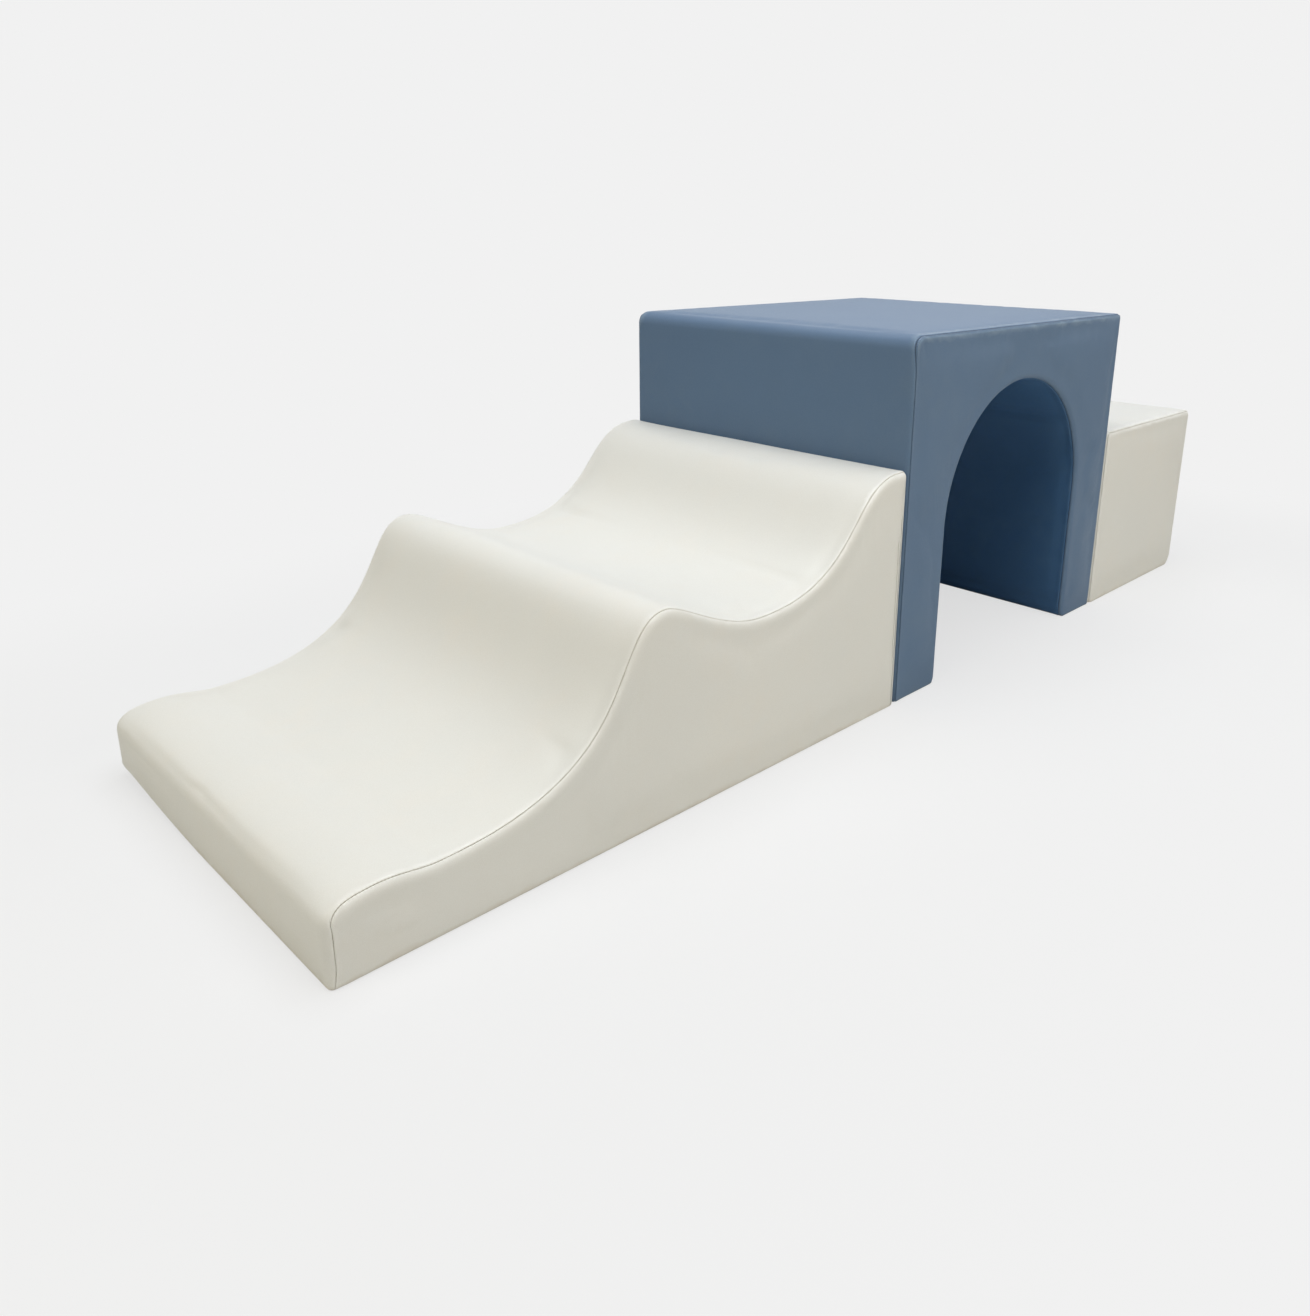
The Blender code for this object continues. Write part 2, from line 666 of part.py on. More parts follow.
def build_step(shapes):
    module = add_empty("step_module", None, (STEP_START, 0, 0))
    edge = [(STEP_EDGE_RADIUS, STEP_SEAM_ANGLE)]
    start = seam_inset(*edge[0]) + GAP
    end = STEP_LENGTH - STEP_HEEL_RADIUS - GAP
    zip_place = (start + end) / 2
    core = core_mesh("step_core", [step_wrap], edge, STEP_WIDTH)
    core = cut_channel(core, zip_place, STEP_ZIP_LENGTH, True)
    add_piece("step_foam_core", core, FOAM_LOOK, module)
    wrap = wrap_mesh("step_wrap", step_wrap, STEP_WIDTH, *edge[0])
    add_piece("step_top_cover", wrap, IVORY_LOOK, module)
    for side, hand in (("near", -1), ("far", 1)):
        panel = panel_mesh("step_side", [step_wrap], edge, STEP_WIDTH, hand)
        add_piece("step_side_panel_" + side, panel, IVORY_LOOK, module)
    half_width = STEP_WIDTH / 2 - seam_depth(*edge[0]) - GAP
    base = base_mesh("step_base", start, end, half_width, zip_place, STEP_ZIP_LENGTH, True)
    add_piece("step_base_panel", base, BASE_LOOK, module)
    add_zip("step_zip", module, zip_place, STEP_ZIP_LENGTH, True, shapes)
    add_piece("step_loop_strip", strip_mesh(-GAP - STRIP_THICKNESS), STRIP_LOOK, module)


def main():
    clear_scene()
    shapes = (slider_mesh(), pull_mesh())
    build_ramp(shapes)
    build_tunnel(shapes)
    build_step(shapes)


main()
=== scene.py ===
import math

import bmesh
import bpy
import numpy as np
from mathutils import Matrix, Vector, kdtree, noise


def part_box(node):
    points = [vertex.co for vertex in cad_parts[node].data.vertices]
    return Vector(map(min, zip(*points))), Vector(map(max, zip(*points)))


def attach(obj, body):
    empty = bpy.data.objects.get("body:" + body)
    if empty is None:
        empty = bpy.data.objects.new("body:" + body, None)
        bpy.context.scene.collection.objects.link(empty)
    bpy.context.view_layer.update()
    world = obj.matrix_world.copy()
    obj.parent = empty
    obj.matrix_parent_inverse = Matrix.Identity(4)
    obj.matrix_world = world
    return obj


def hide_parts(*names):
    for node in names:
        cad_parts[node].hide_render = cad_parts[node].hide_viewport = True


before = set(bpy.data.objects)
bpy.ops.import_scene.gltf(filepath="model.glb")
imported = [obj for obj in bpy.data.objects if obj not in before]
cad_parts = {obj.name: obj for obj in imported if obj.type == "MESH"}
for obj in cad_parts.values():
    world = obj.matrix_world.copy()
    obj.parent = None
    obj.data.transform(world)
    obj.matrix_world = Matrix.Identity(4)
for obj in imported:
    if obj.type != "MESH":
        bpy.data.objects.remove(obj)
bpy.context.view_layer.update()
scene = bpy.context.scene
print("frame loaded")


# Camera, lamps and floor

camera = {
    "place": (-1.42714, -1.21883, 0.75183),
    "turn": (1.28513, -0.00808, -0.78518),
    "lens": 28.889,
    "shift": (-0.03577, -0.09043),
}
studio = {
    "backdrop": (0.880, 0.880, 0.880),
    "floorPaint": (0.83, 0.83, 0.83),
    "bouncePaint": (0.67, 0.67, 0.66),
    "floorSize": 40.0,
    "floorDrift": 14.0,
    "floorShade": 0.99,
    "shadowShare": 0.24,
    "shadowFade": (0.12, 0.90),
    "blockHalf": (1.05, 0.32),
    "skyStrength": 0.04,
    "lamps": (
        # name, place, aims at, width, power, colour, whether leather shines with it
        ("ceilingSoftbox", (0.1, -0.3, 3.4), (0.0, 0.0, 0.2), 3.2, 112.0, (0.910, 0.950, 1.0), True),
        ("sideFill", (0.5, -3.5, 1.4), (0.2, 0.0, 0.3), 2.2, 45.5, (1.0, 0.935, 0.79), True),
        ("frontFill", (-3.2, 0.0, 1.9), (-0.2, 0.0, 0.3), 2.2, 38.5, (1.0, 0.94, 0.77), True),
        ("backFill", (3.2, 1.9, 1.7), (0.1, 0.0, 0.3), 2.0, 24.0, (1.0, 0.97, 0.9), False),
    ),
}


def placeThing(name, data):
    thing = bpy.data.objects.new(name, data)
    scene.collection.objects.link(thing)
    return thing


def placeCamera():
    lensData = bpy.data.cameras.new("photoCamera")
    lensData.lens = camera["lens"]
    lensData.shift_x, lensData.shift_y = camera["shift"]
    lensData.clip_end = 200
    scene.camera = placeThing("photoCamera", lensData)
    scene.camera.location = camera["place"]
    scene.camera.rotation_euler = camera["turn"]


def hangLamps():
    for name, place, aim, width, power, colour, shines in studio["lamps"]:
        lampData = bpy.data.lights.new(name, "AREA")
        lampData.size = width
        lampData.energy = power
        lampData.color = colour
        lamp = placeThing(name, lampData)
        lamp.location = place
        lamp.visible_glossy = shines
        lamp.rotation_euler = (Vector(aim) - Vector(place)).to_track_quat("-Z", "Y").to_euler()


# Small helpers for meshes

def toMesh(bm):
    mesh = bpy.data.meshes.new("shape")
    bm.to_mesh(mesh)
    bm.free()
    return mesh


def bakeShape(thing):
    # The object's shape as a new mesh, once its modifiers have worked
    return bpy.data.meshes.new_from_object(thing.evaluated_get(bpy.context.evaluated_depsgraph_get()))


def readNumbers(values, name, width=3):
    # A table of one number, or of three, for each point
    table = np.empty(len(values) * width)
    values.foreach_get(name, table)
    return table.reshape(-1, 3) if width == 3 else table


def ease(share):
    return share * share * (3 - 2 * share)


# Small helpers for shader nodes

def feed(tree, socket, source):
    # An output is linked to the socket, a number or colour is set on it
    if isinstance(source, bpy.types.NodeSocket):
        tree.links.new(source, socket)
    elif socket.type == "RGBA" and len(source) == 3:
        socket.default_value = (*source, 1.0)
    else:
        socket.default_value = source


def addNode(tree, kind, sources=None, **settings):
    made = tree.nodes.new(kind)
    for name, value in settings.items():
        setattr(made, name, value)
    for name, source in (sources or {}).items():
        feed(tree, made.inputs[name], source)
    return made


def reckon(tree, operation, *values, clamp=False):
    sources = dict(enumerate(values))
    return addNode(tree, "ShaderNodeMath", sources, operation=operation, use_clamp=clamp).outputs[0]


def times(tree, first, second):
    return reckon(tree, "MULTIPLY", first, second)


def plus(tree, first, second):
    return reckon(tree, "ADD", first, second)


def spread(tree, value, low, high, newLow=0.0, newHigh=1.0, way="LINEAR"):
    amounts = dict(enumerate((value, low, high, newLow, newHigh)))
    return addNode(tree, "ShaderNodeMapRange", amounts, interpolation_type=way).outputs[0]


def blendColours(tree, share, first, second):
    sources = {"Factor": share, "A": first, "B": second}
    return addNode(tree, "ShaderNodeMix", sources, data_type="RGBA").outputs["Result"]


def addNoise(tree, vector, scale, detail=2.0, roughness=0.5):
    sources = {"Vector": vector, "Scale": scale, "Detail": detail, "Roughness": roughness}
    return addNode(tree, "ShaderNodeTexNoise", sources).outputs[0]


def splitPlace(tree, vector):
    return addNode(tree, "ShaderNodeSeparateXYZ", {0: vector}).outputs


def remap(tree, vector, part, amount):
    # The vector with its Location, Rotation or Scale changed
    return addNode(tree, "ShaderNodeMapping", {"Vector": vector, part: amount}).outputs["Vector"]


def startGroup(name, gives, **takes):
    # A group that takes a vector and some numbers, and gives masks or heights
    group = bpy.data.node_groups.new(name, "ShaderNodeTree")
    group.interface.new_socket("Vector", in_out="INPUT", socket_type="NodeSocketVector")
    for label, value in takes.items():
        taken = group.interface.new_socket(label, in_out="INPUT", socket_type="NodeSocketFloat")
        taken.default_value = value
    for label in gives:
        group.interface.new_socket(label, in_out="OUTPUT", socket_type="NodeSocketFloat")
    return group, addNode(group, "NodeGroupInput").outputs, addNode(group, "NodeGroupOutput").inputs


def useGroup(tree, group, **values):
    return addNode(tree, "ShaderNodeGroup", values, node_tree=group).outputs


# Scales of the grain's patterns, how wide its creases are, how far they are bent, and how high the pebbles,
# the fine pores and the peel stand
grainFit = {
    "pebble": 700.0, "crease": 0.28, "warp": 260.0, "warpShare": 0.0022, "fine": 2600.0, "peel": 45.0,
    "heights": (0.45, 0.15, 2.2),
}


def makeGrainGroup():
    # Pressed leather grain: small pebbles with creases between them, and a faint orange peel
    fit = grainFit
    scales = {"Pebble": fit["pebble"], "Peel": fit["peel"]}
    group, given, out = startGroup("leatherGrain", ("Height", "Crease"), **scales)
    sources = {"Vector": given["Vector"], "Scale": fit["warp"]}
    warp = addNode(group, "ShaderNodeTexNoise", sources).outputs["Color"]
    sources = {"Factor": fit["warpShare"], "A": given["Vector"], "B": warp}
    shifted = addNode(group, "ShaderNodeMix", sources, data_type="VECTOR").outputs["Result"]
    sources = {"Vector": shifted, "Scale": given["Pebble"]}
    cells = addNode(group, "ShaderNodeTexVoronoi", sources, feature="DISTANCE_TO_EDGE")
    pebble = spread(group, cells.outputs["Distance"], 0.0, fit["crease"])
    fine = addNoise(group, given["Vector"], fit["fine"])
    peel = addNoise(group, given["Vector"], given["Peel"], 3.0)
    raised, pored, peeled = (times(group, *pair) for pair in zip((pebble, fine, peel), fit["heights"]))
    feed(group, out["Height"], plus(group, plus(group, raised, pored), peeled))
    feed(group, out["Crease"], reckon(group, "SUBTRACT", 1.0, pebble))
    return group


def makeDriftGroup():
    # Slow changes of tone over a hide or cloth, and finer mottling
    group, given, out = startGroup("toneDrift", ("Slow", "Quick", "Warm"), Slow=3.0, Quick=28.0)
    vector, slow = given["Vector"], given["Slow"]
    elsewhere = remap(group, vector, "Location", (7.1, 3.3, 5.7))
    for label, tone, half in (
        ("Slow", addNoise(group, vector, slow, 3.0), 0.20),
        ("Quick", addNoise(group, vector, given["Quick"], 4.0, 0.6), 0.20),
        ("Warm", addNoise(group, elsewhere, times(group, slow, 2.3)), 0.15),
    ):
        feed(group, out[label], spread(group, tone, 0.5 - half, 0.5 + half))
    return group


def makeSeamGroup():
    # Painted shade and dirt in a seam's groove, and beside it a lighter strip: a painted highlight on the
    # rubbed leather that stands proud there
    group, given, out = startGroup("seamShadeAndRubHighlight", ("ShadeAndDirt", "Rub"), Distance=0.1, Width=0.0012)
    uneven = spread(group, addNoise(group, given["Vector"], 60.0, 3.0), 0.3, 0.7, 0.6, 1.5)
    share = reckon(group, "DIVIDE", given["Distance"], times(group, given["Width"], uneven))
    # Darker right at the seam: painted shade in the groove, with some dirt
    feed(group, out["ShadeAndDirt"], spread(group, share, 0.0, 1.0, 1.0, 0.0))
    # The lighter strip is a painted highlight, partly rubbed wear
    strip = times(group, spread(group, share, 1.0, 2.5), spread(group, share, 3.0, 9.0, 1.0, 0.0))
    patch = spread(group, addNoise(group, given["Vector"], 22.0, 4.0), 0.4, 0.65, 0.25, 1.0)
    feed(group, out["Rub"], times(group, strip, patch))
    return group


def makeLowToneGroup():
    # A mask, of uneven reach, for the part that stands nearest to the floor, where the leather takes another
    # tone
    group, given, out = startGroup("lowToneBand", ("Mask",), Reach=0.01)
    uneven = spread(group, addNoise(group, given["Vector"], 35.0, 4.0), 0.3, 0.7, 0.5, 1.4)
    height = splitPlace(group, given["Vector"])["Z"]
    share = reckon(group, "DIVIDE", height, times(group, given["Reach"], uneven))
    feed(group, out["Mask"], spread(group, share, 0.0, 1.0, 1.0, 0.0))
    return group


def makeWeaveGroup():
    # Plain weave of warp and weft threads in the X and Y of its vector
    group, given, out = startGroup("plainWeave", ("Height", "Warp"), Threads=1800.0)
    place = splitPlace(group, given["Vector"])
    turns = times(group, given["Threads"], math.pi)
    waves = [reckon(group, "SINE", times(group, place[axis], turns)) for axis in "XY"]
    over = spread(group, times(group, *waves), -0.08, 0.08)
    warp, weft = (reckon(group, "ABSOLUTE", wave) for wave in waves)
    weft = times(group, weft, reckon(group, "SUBTRACT", 1.0, over))
    feed(group, out["Height"], reckon(group, "MAXIMUM", times(group, warp, over), weft))
    feed(group, out["Warp"], over)
    return group


grainGroup = makeGrainGroup()
driftGroup = makeDriftGroup()
seamGroup = makeSeamGroup()
lowToneGroup = makeLowToneGroup()
weaveGroup = makeWeaveGroup()


def startMaterial(name, fixed):
    material = bpy.data.materials.new(name)
    material.use_nodes = True
    tree = material.node_tree
    shader = tree.nodes["Principled BSDF"]
    for label, value in fixed.items():
        shader.inputs[label].default_value = value
    return material, tree, shader, addNode(tree, "ShaderNodeTexCoord").outputs["Object"]


def finishShader(tree, shader, colour, roughness, height, depth):
    bump = addNode(tree, "ShaderNodeBump", {"Strength": 1.0, "Distance": depth, "Height": height})
    sources = {"Base Color": colour, "Roughness": roughness, "Normal": bump.outputs["Normal"]}
    for label, source in sources.items():
        feed(tree, shader.inputs[label], source)


# Leather: its colour, how it drifts, the painted shade with dirt in seams and creases, the painted highlight
# with rubs beside seams, and its tone near the floor
ivoryLeather = {
    "name": "ivoryLeather",
    "base": (0.793, 0.785, 0.743),
    "drift": (0.768, 0.764, 0.728),
    "warm": (0.797, 0.775, 0.722),
    # Next: painted shade with dirt for seams and grain creases, then a painted highlight with rubbed wear
    # beside the seams
    "shadeAndDirt": (0.47, 0.42, 0.34),
    "rub": (0.88, 0.875, 0.845),
    "lowTone": (0.60, 0.53, 0.44),
    "seamShadeAndDirt": 0.50,
    # Shares of that painted highlight below the first height and above the second
    "highlightShare": (0.50, 0.95),
    "highlightHeight": (0.330, 0.362),
    "roughness": 0.44,
    "gloss": 0.42,
    "coat": 0.06,
    "sheen": 0.0,
    "stitch": 0.0042,
}
blueLeather = {
    "name": "blueLeather",
    "base": (0.092, 0.162, 0.268),
    "drift": (0.084, 0.150, 0.252),
    "warm": (0.102, 0.170, 0.266),
    # Next: painted shade with dirt for seams and grain creases, then a painted highlight with rubbed wear
    # beside the seams
    "shadeAndDirt": (0.026, 0.046, 0.084),
    "rub": (0.170, 0.246, 0.335),
    "lowTone": (0.140, 0.180, 0.225),
    "seamShadeAndDirt": 0.70,
    # Shares of that painted highlight below the first height and above the second
    "highlightShare": (0.25, 1.0),
    "highlightHeight": (0.560, 0.590),
    "roughness": 0.46,
    "gloss": 0.50,
    "coat": 0.12,
    "sheen": 0.07,
    "stitch": 0.0042,
}
# Painted shade: a darker, bluer copy of the blue leather, with less gloss, for the lining inside the tunnel
shadedLiningLeather = dict(
    blueLeather, name="shadedLiningLeather", base=(0.066, 0.156, 0.300), drift=(0.057, 0.141, 0.282),
    warm=(0.074, 0.162, 0.296), gloss=0.18, coat=0.02, sheen=0.0,
)


# All leather: how far the warm tone, the painted shade in creases and the tone near the floor tint it, what
# creases, mottling, rubs and the floor tone add to its roughness, how its coat varies, where the pull of the
# stitches fades and how strong it is, bump depth
leatherWearAndShade = {
    "warm": 0.8, "crease": 0.10, "lowTone": 0.55, "roughness": (0.12, 0.06, -0.07, 0.2),
    "coat": (0.7, 1.3), "pullReach": (0.0006, 0.0045), "pull": 1.6, "depth": 0.00010,
}


def makeLeather(look):
    # The painted highlight beside the seams, with rubbed wear, takes the first share on edges up to the
    # first height and the second share from the second height on, where more light falls from above
    wearAndShade = leatherWearAndShade
    material, tree, shader, place = startMaterial(look["name"], {
        "Specular IOR Level": look["gloss"], "Coat Roughness": 0.35, "Sheen Weight": look["sheen"],
        "Sheen Roughness": 0.4, "Sheen Tint": (1.0, 0.93, 0.84, 1.0),
    })
    away, along = (
        addNode(tree, "ShaderNodeAttribute", attribute_name=label).outputs["Fac"]
        for label in ("seamDistance", "seamRun")
    )
    drift = useGroup(tree, driftGroup, Vector=place)
    grain = useGroup(tree, grainGroup, Vector=place)
    seam = useGroup(tree, seamGroup, Distance=away, Vector=place)
    lowTone = useGroup(tree, lowToneGroup, Vector=place)["Mask"]
    # Painted highlight: stronger on the high edges, where the light from above falls
    highlighted = spread(tree, splitPlace(tree, place)["Z"], *look["highlightHeight"], *look["highlightShare"])
    colour = look["base"]
    for share, tone in (
        (drift["Slow"], "drift"),
        (times(tree, drift["Warm"], times(tree, drift["Quick"], wearAndShade["warm"])), "warm"),
        # Painted shade in the grain's creases
        (times(tree, grain["Crease"], wearAndShade["crease"]), "shadeAndDirt"),
        # Painted highlight beside the seams, with rubbed wear
        (times(tree, seam["Rub"], highlighted), "rub"),
        # A tone near the floor, darker and warmer on ivory, paler on blue
        (times(tree, lowTone, wearAndShade["lowTone"]), "lowTone"),
        # Painted shade with dirt in the seams
        (times(tree, seam["ShadeAndDirt"], look["seamShadeAndDirt"]), "shadeAndDirt"),
    ):
        colour = blendColours(tree, share, colour, look[tone])
    rough = look["roughness"]
    for source, share in zip((grain["Crease"], drift["Quick"], seam["Rub"], lowTone), wearAndShade["roughness"]):
        rough = plus(tree, rough, times(tree, source, share))
    coat = times(tree, look["coat"], spread(tree, drift["Quick"], 0.0, 1.0, *wearAndShade["coat"]))
    feed(tree, shader.inputs["Coat Weight"], coat)
    # The thread's pull on the leather, once for each stitch
    pull = reckon(tree, "SINE", times(tree, along, 2 * math.pi / look["stitch"]))
    pull = times(tree, pull, spread(tree, away, *wearAndShade["pullReach"], wearAndShade["pull"], 0.0))
    finishShader(tree, shader, colour, rough, plus(tree, grain["Height"], pull), wearAndShade["depth"])
    return material


# Cloths: threads to the metre, how the weave is turned, colours of the two threads, bump depth
baseCloth = {
    "name": "nonSlipCloth", "threads": 900.0, "turn": (0, 0, 0), "depth": 0.00018,
    "colours": ((0.085, 0.085, 0.09), (0.125, 0.125, 0.13)), "roughness": 0.78, "sheen": 0.1,
}
tapeCloth = {
    "name": "zipTapeWeave", "threads": 2200.0, "turn": (0, 0, math.radians(45)), "depth": 0.00010,
    "colours": ((0.17, 0.17, 0.18), (0.24, 0.24, 0.25)), "roughness": 0.82, "sheen": 0.2,
}
loopCloth = {
    "name": "loopPile", "threads": 700.0, "turn": (0, math.radians(90), 0), "depth": 0.00045,
    "colours": ((0.44, 0.43, 0.40), (0.56, 0.55, 0.52)), "roughness": 0.95, "sheen": 0.5,
}
hookCloth = {
    "name": "hookPile", "threads": 620.0, "turn": (0, math.radians(90), 0), "depth": 0.00045,
    "colours": ((0.09, 0.115, 0.15), (0.14, 0.175, 0.225)), "roughness": 0.72, "sheen": 0.1,
}


# All cloths: scales of the drift, the painted shade between the threads, how much of the cloth's own colour
# stays there, how much paler the fluff is and its share, and how much smoother worn cloth is
clothWearAndShade = {
    "drift": (9.0, 140.0), "between": (0.02, 0.02, 0.02), "shade": 0.45, "fluff": 1.35, "fluffShare": 0.25,
    "worn": 0.06,
}


def makeCloth(look):
    wearAndShade = clothWearAndShade
    fixed = {"Sheen Weight": look["sheen"], "Sheen Roughness": 0.6}
    material, tree, shader, place = startMaterial(look["name"], fixed)
    turned = remap(tree, place, "Rotation", look["turn"])
    weave = useGroup(tree, weaveGroup, Vector=turned, Threads=look["threads"])
    drift = useGroup(tree, driftGroup, Vector=place, Slow=wearAndShade["drift"][0], Quick=wearAndShade["drift"][1])
    shade = spread(tree, weave["Height"], 0.0, 1.0, wearAndShade["shade"], 1.0)
    colour = blendColours(tree, weave["Warp"], *look["colours"])
    # Painted shade where the threads lie low
    colour = blendColours(tree, shade, wearAndShade["between"], colour)
    fluff = tuple(min(1.0, tone * wearAndShade["fluff"]) for tone in look["colours"][1])
    colour = blendColours(tree, times(tree, drift["Quick"], wearAndShade["fluffShare"]), colour, fluff)
    rough = spread(tree, drift["Slow"], 0.0, 1.0, look["roughness"] - wearAndShade["worn"], look["roughness"])
    finishShader(tree, shader, colour, rough, weave["Height"], look["depth"])
    return material


# Foam, nylon, thread and zinc: scales of the drift, two tones and the tint that the pattern brings in (on
# the foam, painted shade in its pits), roughness where the pattern is low and high, and bump depth
foamFinish = {
    "name": "cutFoam", "fixed": {"Sheen Weight": 0.2}, "drift": (5.0, 60.0),
    "tones": ((0.66, 0.64, 0.56), (0.62, 0.585, 0.46)), "tint": (0.36, 0.33, 0.25), "tintShare": 0.35,
    "roughness": (0.88, 1.0), "depth": 0.0004, "cells": 900.0, "pits": (0.1, 0.7),
}
coilFinish = {
    "name": "coilNylon", "fixed": {"Specular IOR Level": 0.5}, "drift": (30.0, 500.0),
    "tones": ((0.135, 0.135, 0.145), (0.175, 0.175, 0.18)), "tint": (0.135, 0.135, 0.145), "tintShare": 0.0,
    "roughness": (0.36, 0.52), "depth": 0.00003,
}
threadFinish = {
    "name": "boundThread", "fixed": {"Sheen Weight": 0.15, "Sheen Roughness": 0.5}, "drift": (12.0, 420.0),
    "tones": ((0.040, 0.080, 0.145), (0.052, 0.094, 0.162)), "tint": (0.090, 0.140, 0.215), "tintShare": 0.4,
    "roughness": (0.50, 0.68), "depth": 0.00005, "fibres": 2400.0,
}
zincFinish = {
    "name": "satinZinc", "fixed": {"Metallic": 1.0}, "drift": (120.0, 700.0),
    "tones": ((0.50, 0.49, 0.47), (0.63, 0.62, 0.60)), "tint": (0.34, 0.33, 0.31), "tintShare": 0.2,
    "roughness": (0.27, 0.42), "depth": 0.00002, "brush": (900.0, 900.0, 6000.0),
}


# Each pattern gives the mask of the tint, that of the roughness, and the height

def foamCells(tree, look, place, quick):
    sources = {"Vector": place, "Scale": look["cells"]}
    cells = addNode(tree, "ShaderNodeTexVoronoi", sources, feature="SMOOTH_F1")
    # Painted shade: the pits, where the foam lies low, take the darker tint
    pits = spread(tree, cells.outputs["Distance"], *look["pits"])
    return pits, quick, reckon(tree, "SUBTRACT", 1.0, pits)


def mouldedSkin(tree, look, place, quick):
    return quick, quick, quick


def threadFibres(tree, look, place, quick):
    fibres = addNoise(tree, place, look["fibres"], 3.0, 0.7)
    return fibres, quick, fibres


def brushMarks(tree, look, place, quick):
    # Brushed along the slider
    brush = addNoise(tree, remap(tree, place, "Scale", look["brush"]), 1.0, 3.0)
    return quick, spread(tree, brush, 0.3, 0.7), brush


def makeFinish(look, drawPattern):
    material, tree, shader, place = startMaterial(look["name"], look["fixed"])
    drift = useGroup(tree, driftGroup, Vector=place, Slow=look["drift"][0], Quick=look["drift"][1])
    tint, rough, height = drawPattern(tree, look, place, drift["Quick"])
    colour = blendColours(tree, drift["Slow"], *look["tones"])
    colour = blendColours(tree, times(tree, tint, look["tintShare"]), colour, look["tint"])
    rough = spread(tree, rough, 0.0, 1.0, *look["roughness"])
    finishShader(tree, shader, colour, rough, height, look["depth"])
    return material


def seenRays(tree, *kinds):
    # One for a ray of any of these kinds
    path = addNode(tree, "ShaderNodeLightPath").outputs
    seen = 0.0
    for kind in kinds:
        seen = reckon(tree, "ADD", seen, path["Is " + kind + " Ray"], clamp=True)
    return seen


def mixShaders(tree, share, first, second, output):
    mixed = addNode(tree, "ShaderNodeMixShader", {0: share, 1: first.outputs[0], 2: second.outputs[0]})
    tree.links.new(mixed.outputs[0], tree.nodes[output].inputs["Surface"])


def besideBlocks(tree, place):
    # One on the floor round the blocks, down to nothing further off
    split = splitPlace(tree, place)
    spare = []
    for axis, half in zip("XY", studio["blockHalf"]):
        beyond = reckon(tree, "SUBTRACT", reckon(tree, "ABSOLUTE", split[axis]), half)
        spare.append(reckon(tree, "POWER", reckon(tree, "MAXIMUM", beyond, 0.0), 2.0))
    away = reckon(tree, "SQRT", plus(tree, *spare))
    return spread(tree, away, *studio["shadowFade"], 1.0, 0.0, "SMOOTHSTEP")


def layFloor():
    bm = bmesh.new()
    bmesh.ops.create_grid(bm, x_segments=4, y_segments=4, size=studio["floorSize"] / 2)
    floor = placeThing("paleFloor", toMesh(bm))
    fixed = {"Roughness": 0.9, "Specular IOR Level": 0.1}
    material, tree, shader, place = startMaterial("palePaper", fixed)
    tone = spread(tree, addNoise(tree, place, studio["floorDrift"], 3.0), 0.3, 0.7)
    paint = studio["floorPaint"]
    seenPaint = blendColours(tree, tone, paint, tuple(value * studio["floorShade"] for value in paint))
    seen = seenRays(tree, "Camera", "Transmission")
    feed(tree, shader.inputs["Base Color"], blendColours(tree, seen, studio["bouncePaint"], seenPaint))
    glow = addNode(tree, "ShaderNodeEmission", {"Color": studio["backdrop"]})
    shadow = times(tree, besideBlocks(tree, place), studio["shadowShare"])
    lit = times(tree, seen, reckon(tree, "SUBTRACT", 1.0, shadow))
    mixShaders(tree, lit, shader, glow, "Material Output")
    floor.data.materials.append(material)


def lightSky():
    scene.world = bpy.data.worlds.new("studioRoom")
    scene.world.use_nodes = True
    tree = scene.world.node_tree
    light = tree.nodes["Background"]
    light.inputs["Color"].default_value = (1.0, 1.0, 1.0, 1.0)
    light.inputs["Strength"].default_value = studio["skyStrength"]
    shown = addNode(tree, "ShaderNodeBackground", {"Color": studio["backdrop"]})
    mixShaders(tree, seenRays(tree, "Camera", "Glossy", "Transmission"), light, shown, "World Output")


placeCamera()
hangLamps()
layFloor()
lightSky()
scene.view_settings.view_transform = "Standard"
ivory = makeLeather(ivoryLeather)
blue = makeLeather(blueLeather)
shadedBlueLining = makeLeather(shadedLiningLeather)
foam = makeFinish(foamFinish, foamCells)
baseFabric = makeCloth(baseCloth)
zipFabric = makeCloth(tapeCloth)
loopFabric = makeCloth(loopCloth)
hookFabric = makeCloth(hookCloth)
coilPlastic = makeFinish(coilFinish, mouldedSkin)
zinc = makeFinish(zincFinish, brushMarks)
thread = makeFinish(threadFinish, threadFibres)
print("studio and finishes ready")


# Side views of the three blocks, as lists of points. A point is x, z, how it moves for each metre that
# it is set in, how far that holds, and how it moves after that.

cover = {
    "thickness": 0.0012,
    "floorLift": 0.0005,
    "floorSpare": 0.0002,
    "footRoll": 0.0035,
    "footSteps": 4,
    "tuck": 0.0022,
    "tuckFade": 0.030,
    "leastRadius": 0.0006,
    "seamDrift": 0.0004,
    "seamPace": 14,
    "sidesApart": 3.1,
    "crossSteps": 66,
    "edgeSamples": 60,
    "middleHeight": 0.45,
    "fill": 0.95,
}
endless = 9.0
nearly = 0.00001


def addLine(points, end, inward, steps):
    start = points[-1][:2]
    for step in range(1, steps + 1):
        share = step / steps
        x, z = (first + (last - first) * share for first, last in zip(start, end))
        points.append((x, z, *inward, endless, 0, 0))


def addArc(points, centre, radius, angles, steps, turn=None, inward=None, pull=(1, 1)):
    # turn is where the corner goes once it is set in by more than its radius; pull is how far a point
    # moves towards the centre, in x and in z, where inward doesn't give the way
    limit = radius - cover["leastRadius"] if turn else endless
    for step in range(1, steps + 1):
        angle = math.radians(angles[0] + (angles[1] - angles[0]) * step / steps)
        side, up = math.cos(angle), math.sin(angle)
        move = inward or (-side * pull[0], -up * pull[1])
        points.append((centre[0] + radius * side, centre[1] + radius * up, *move, limit, *(turn or (0, 0))))


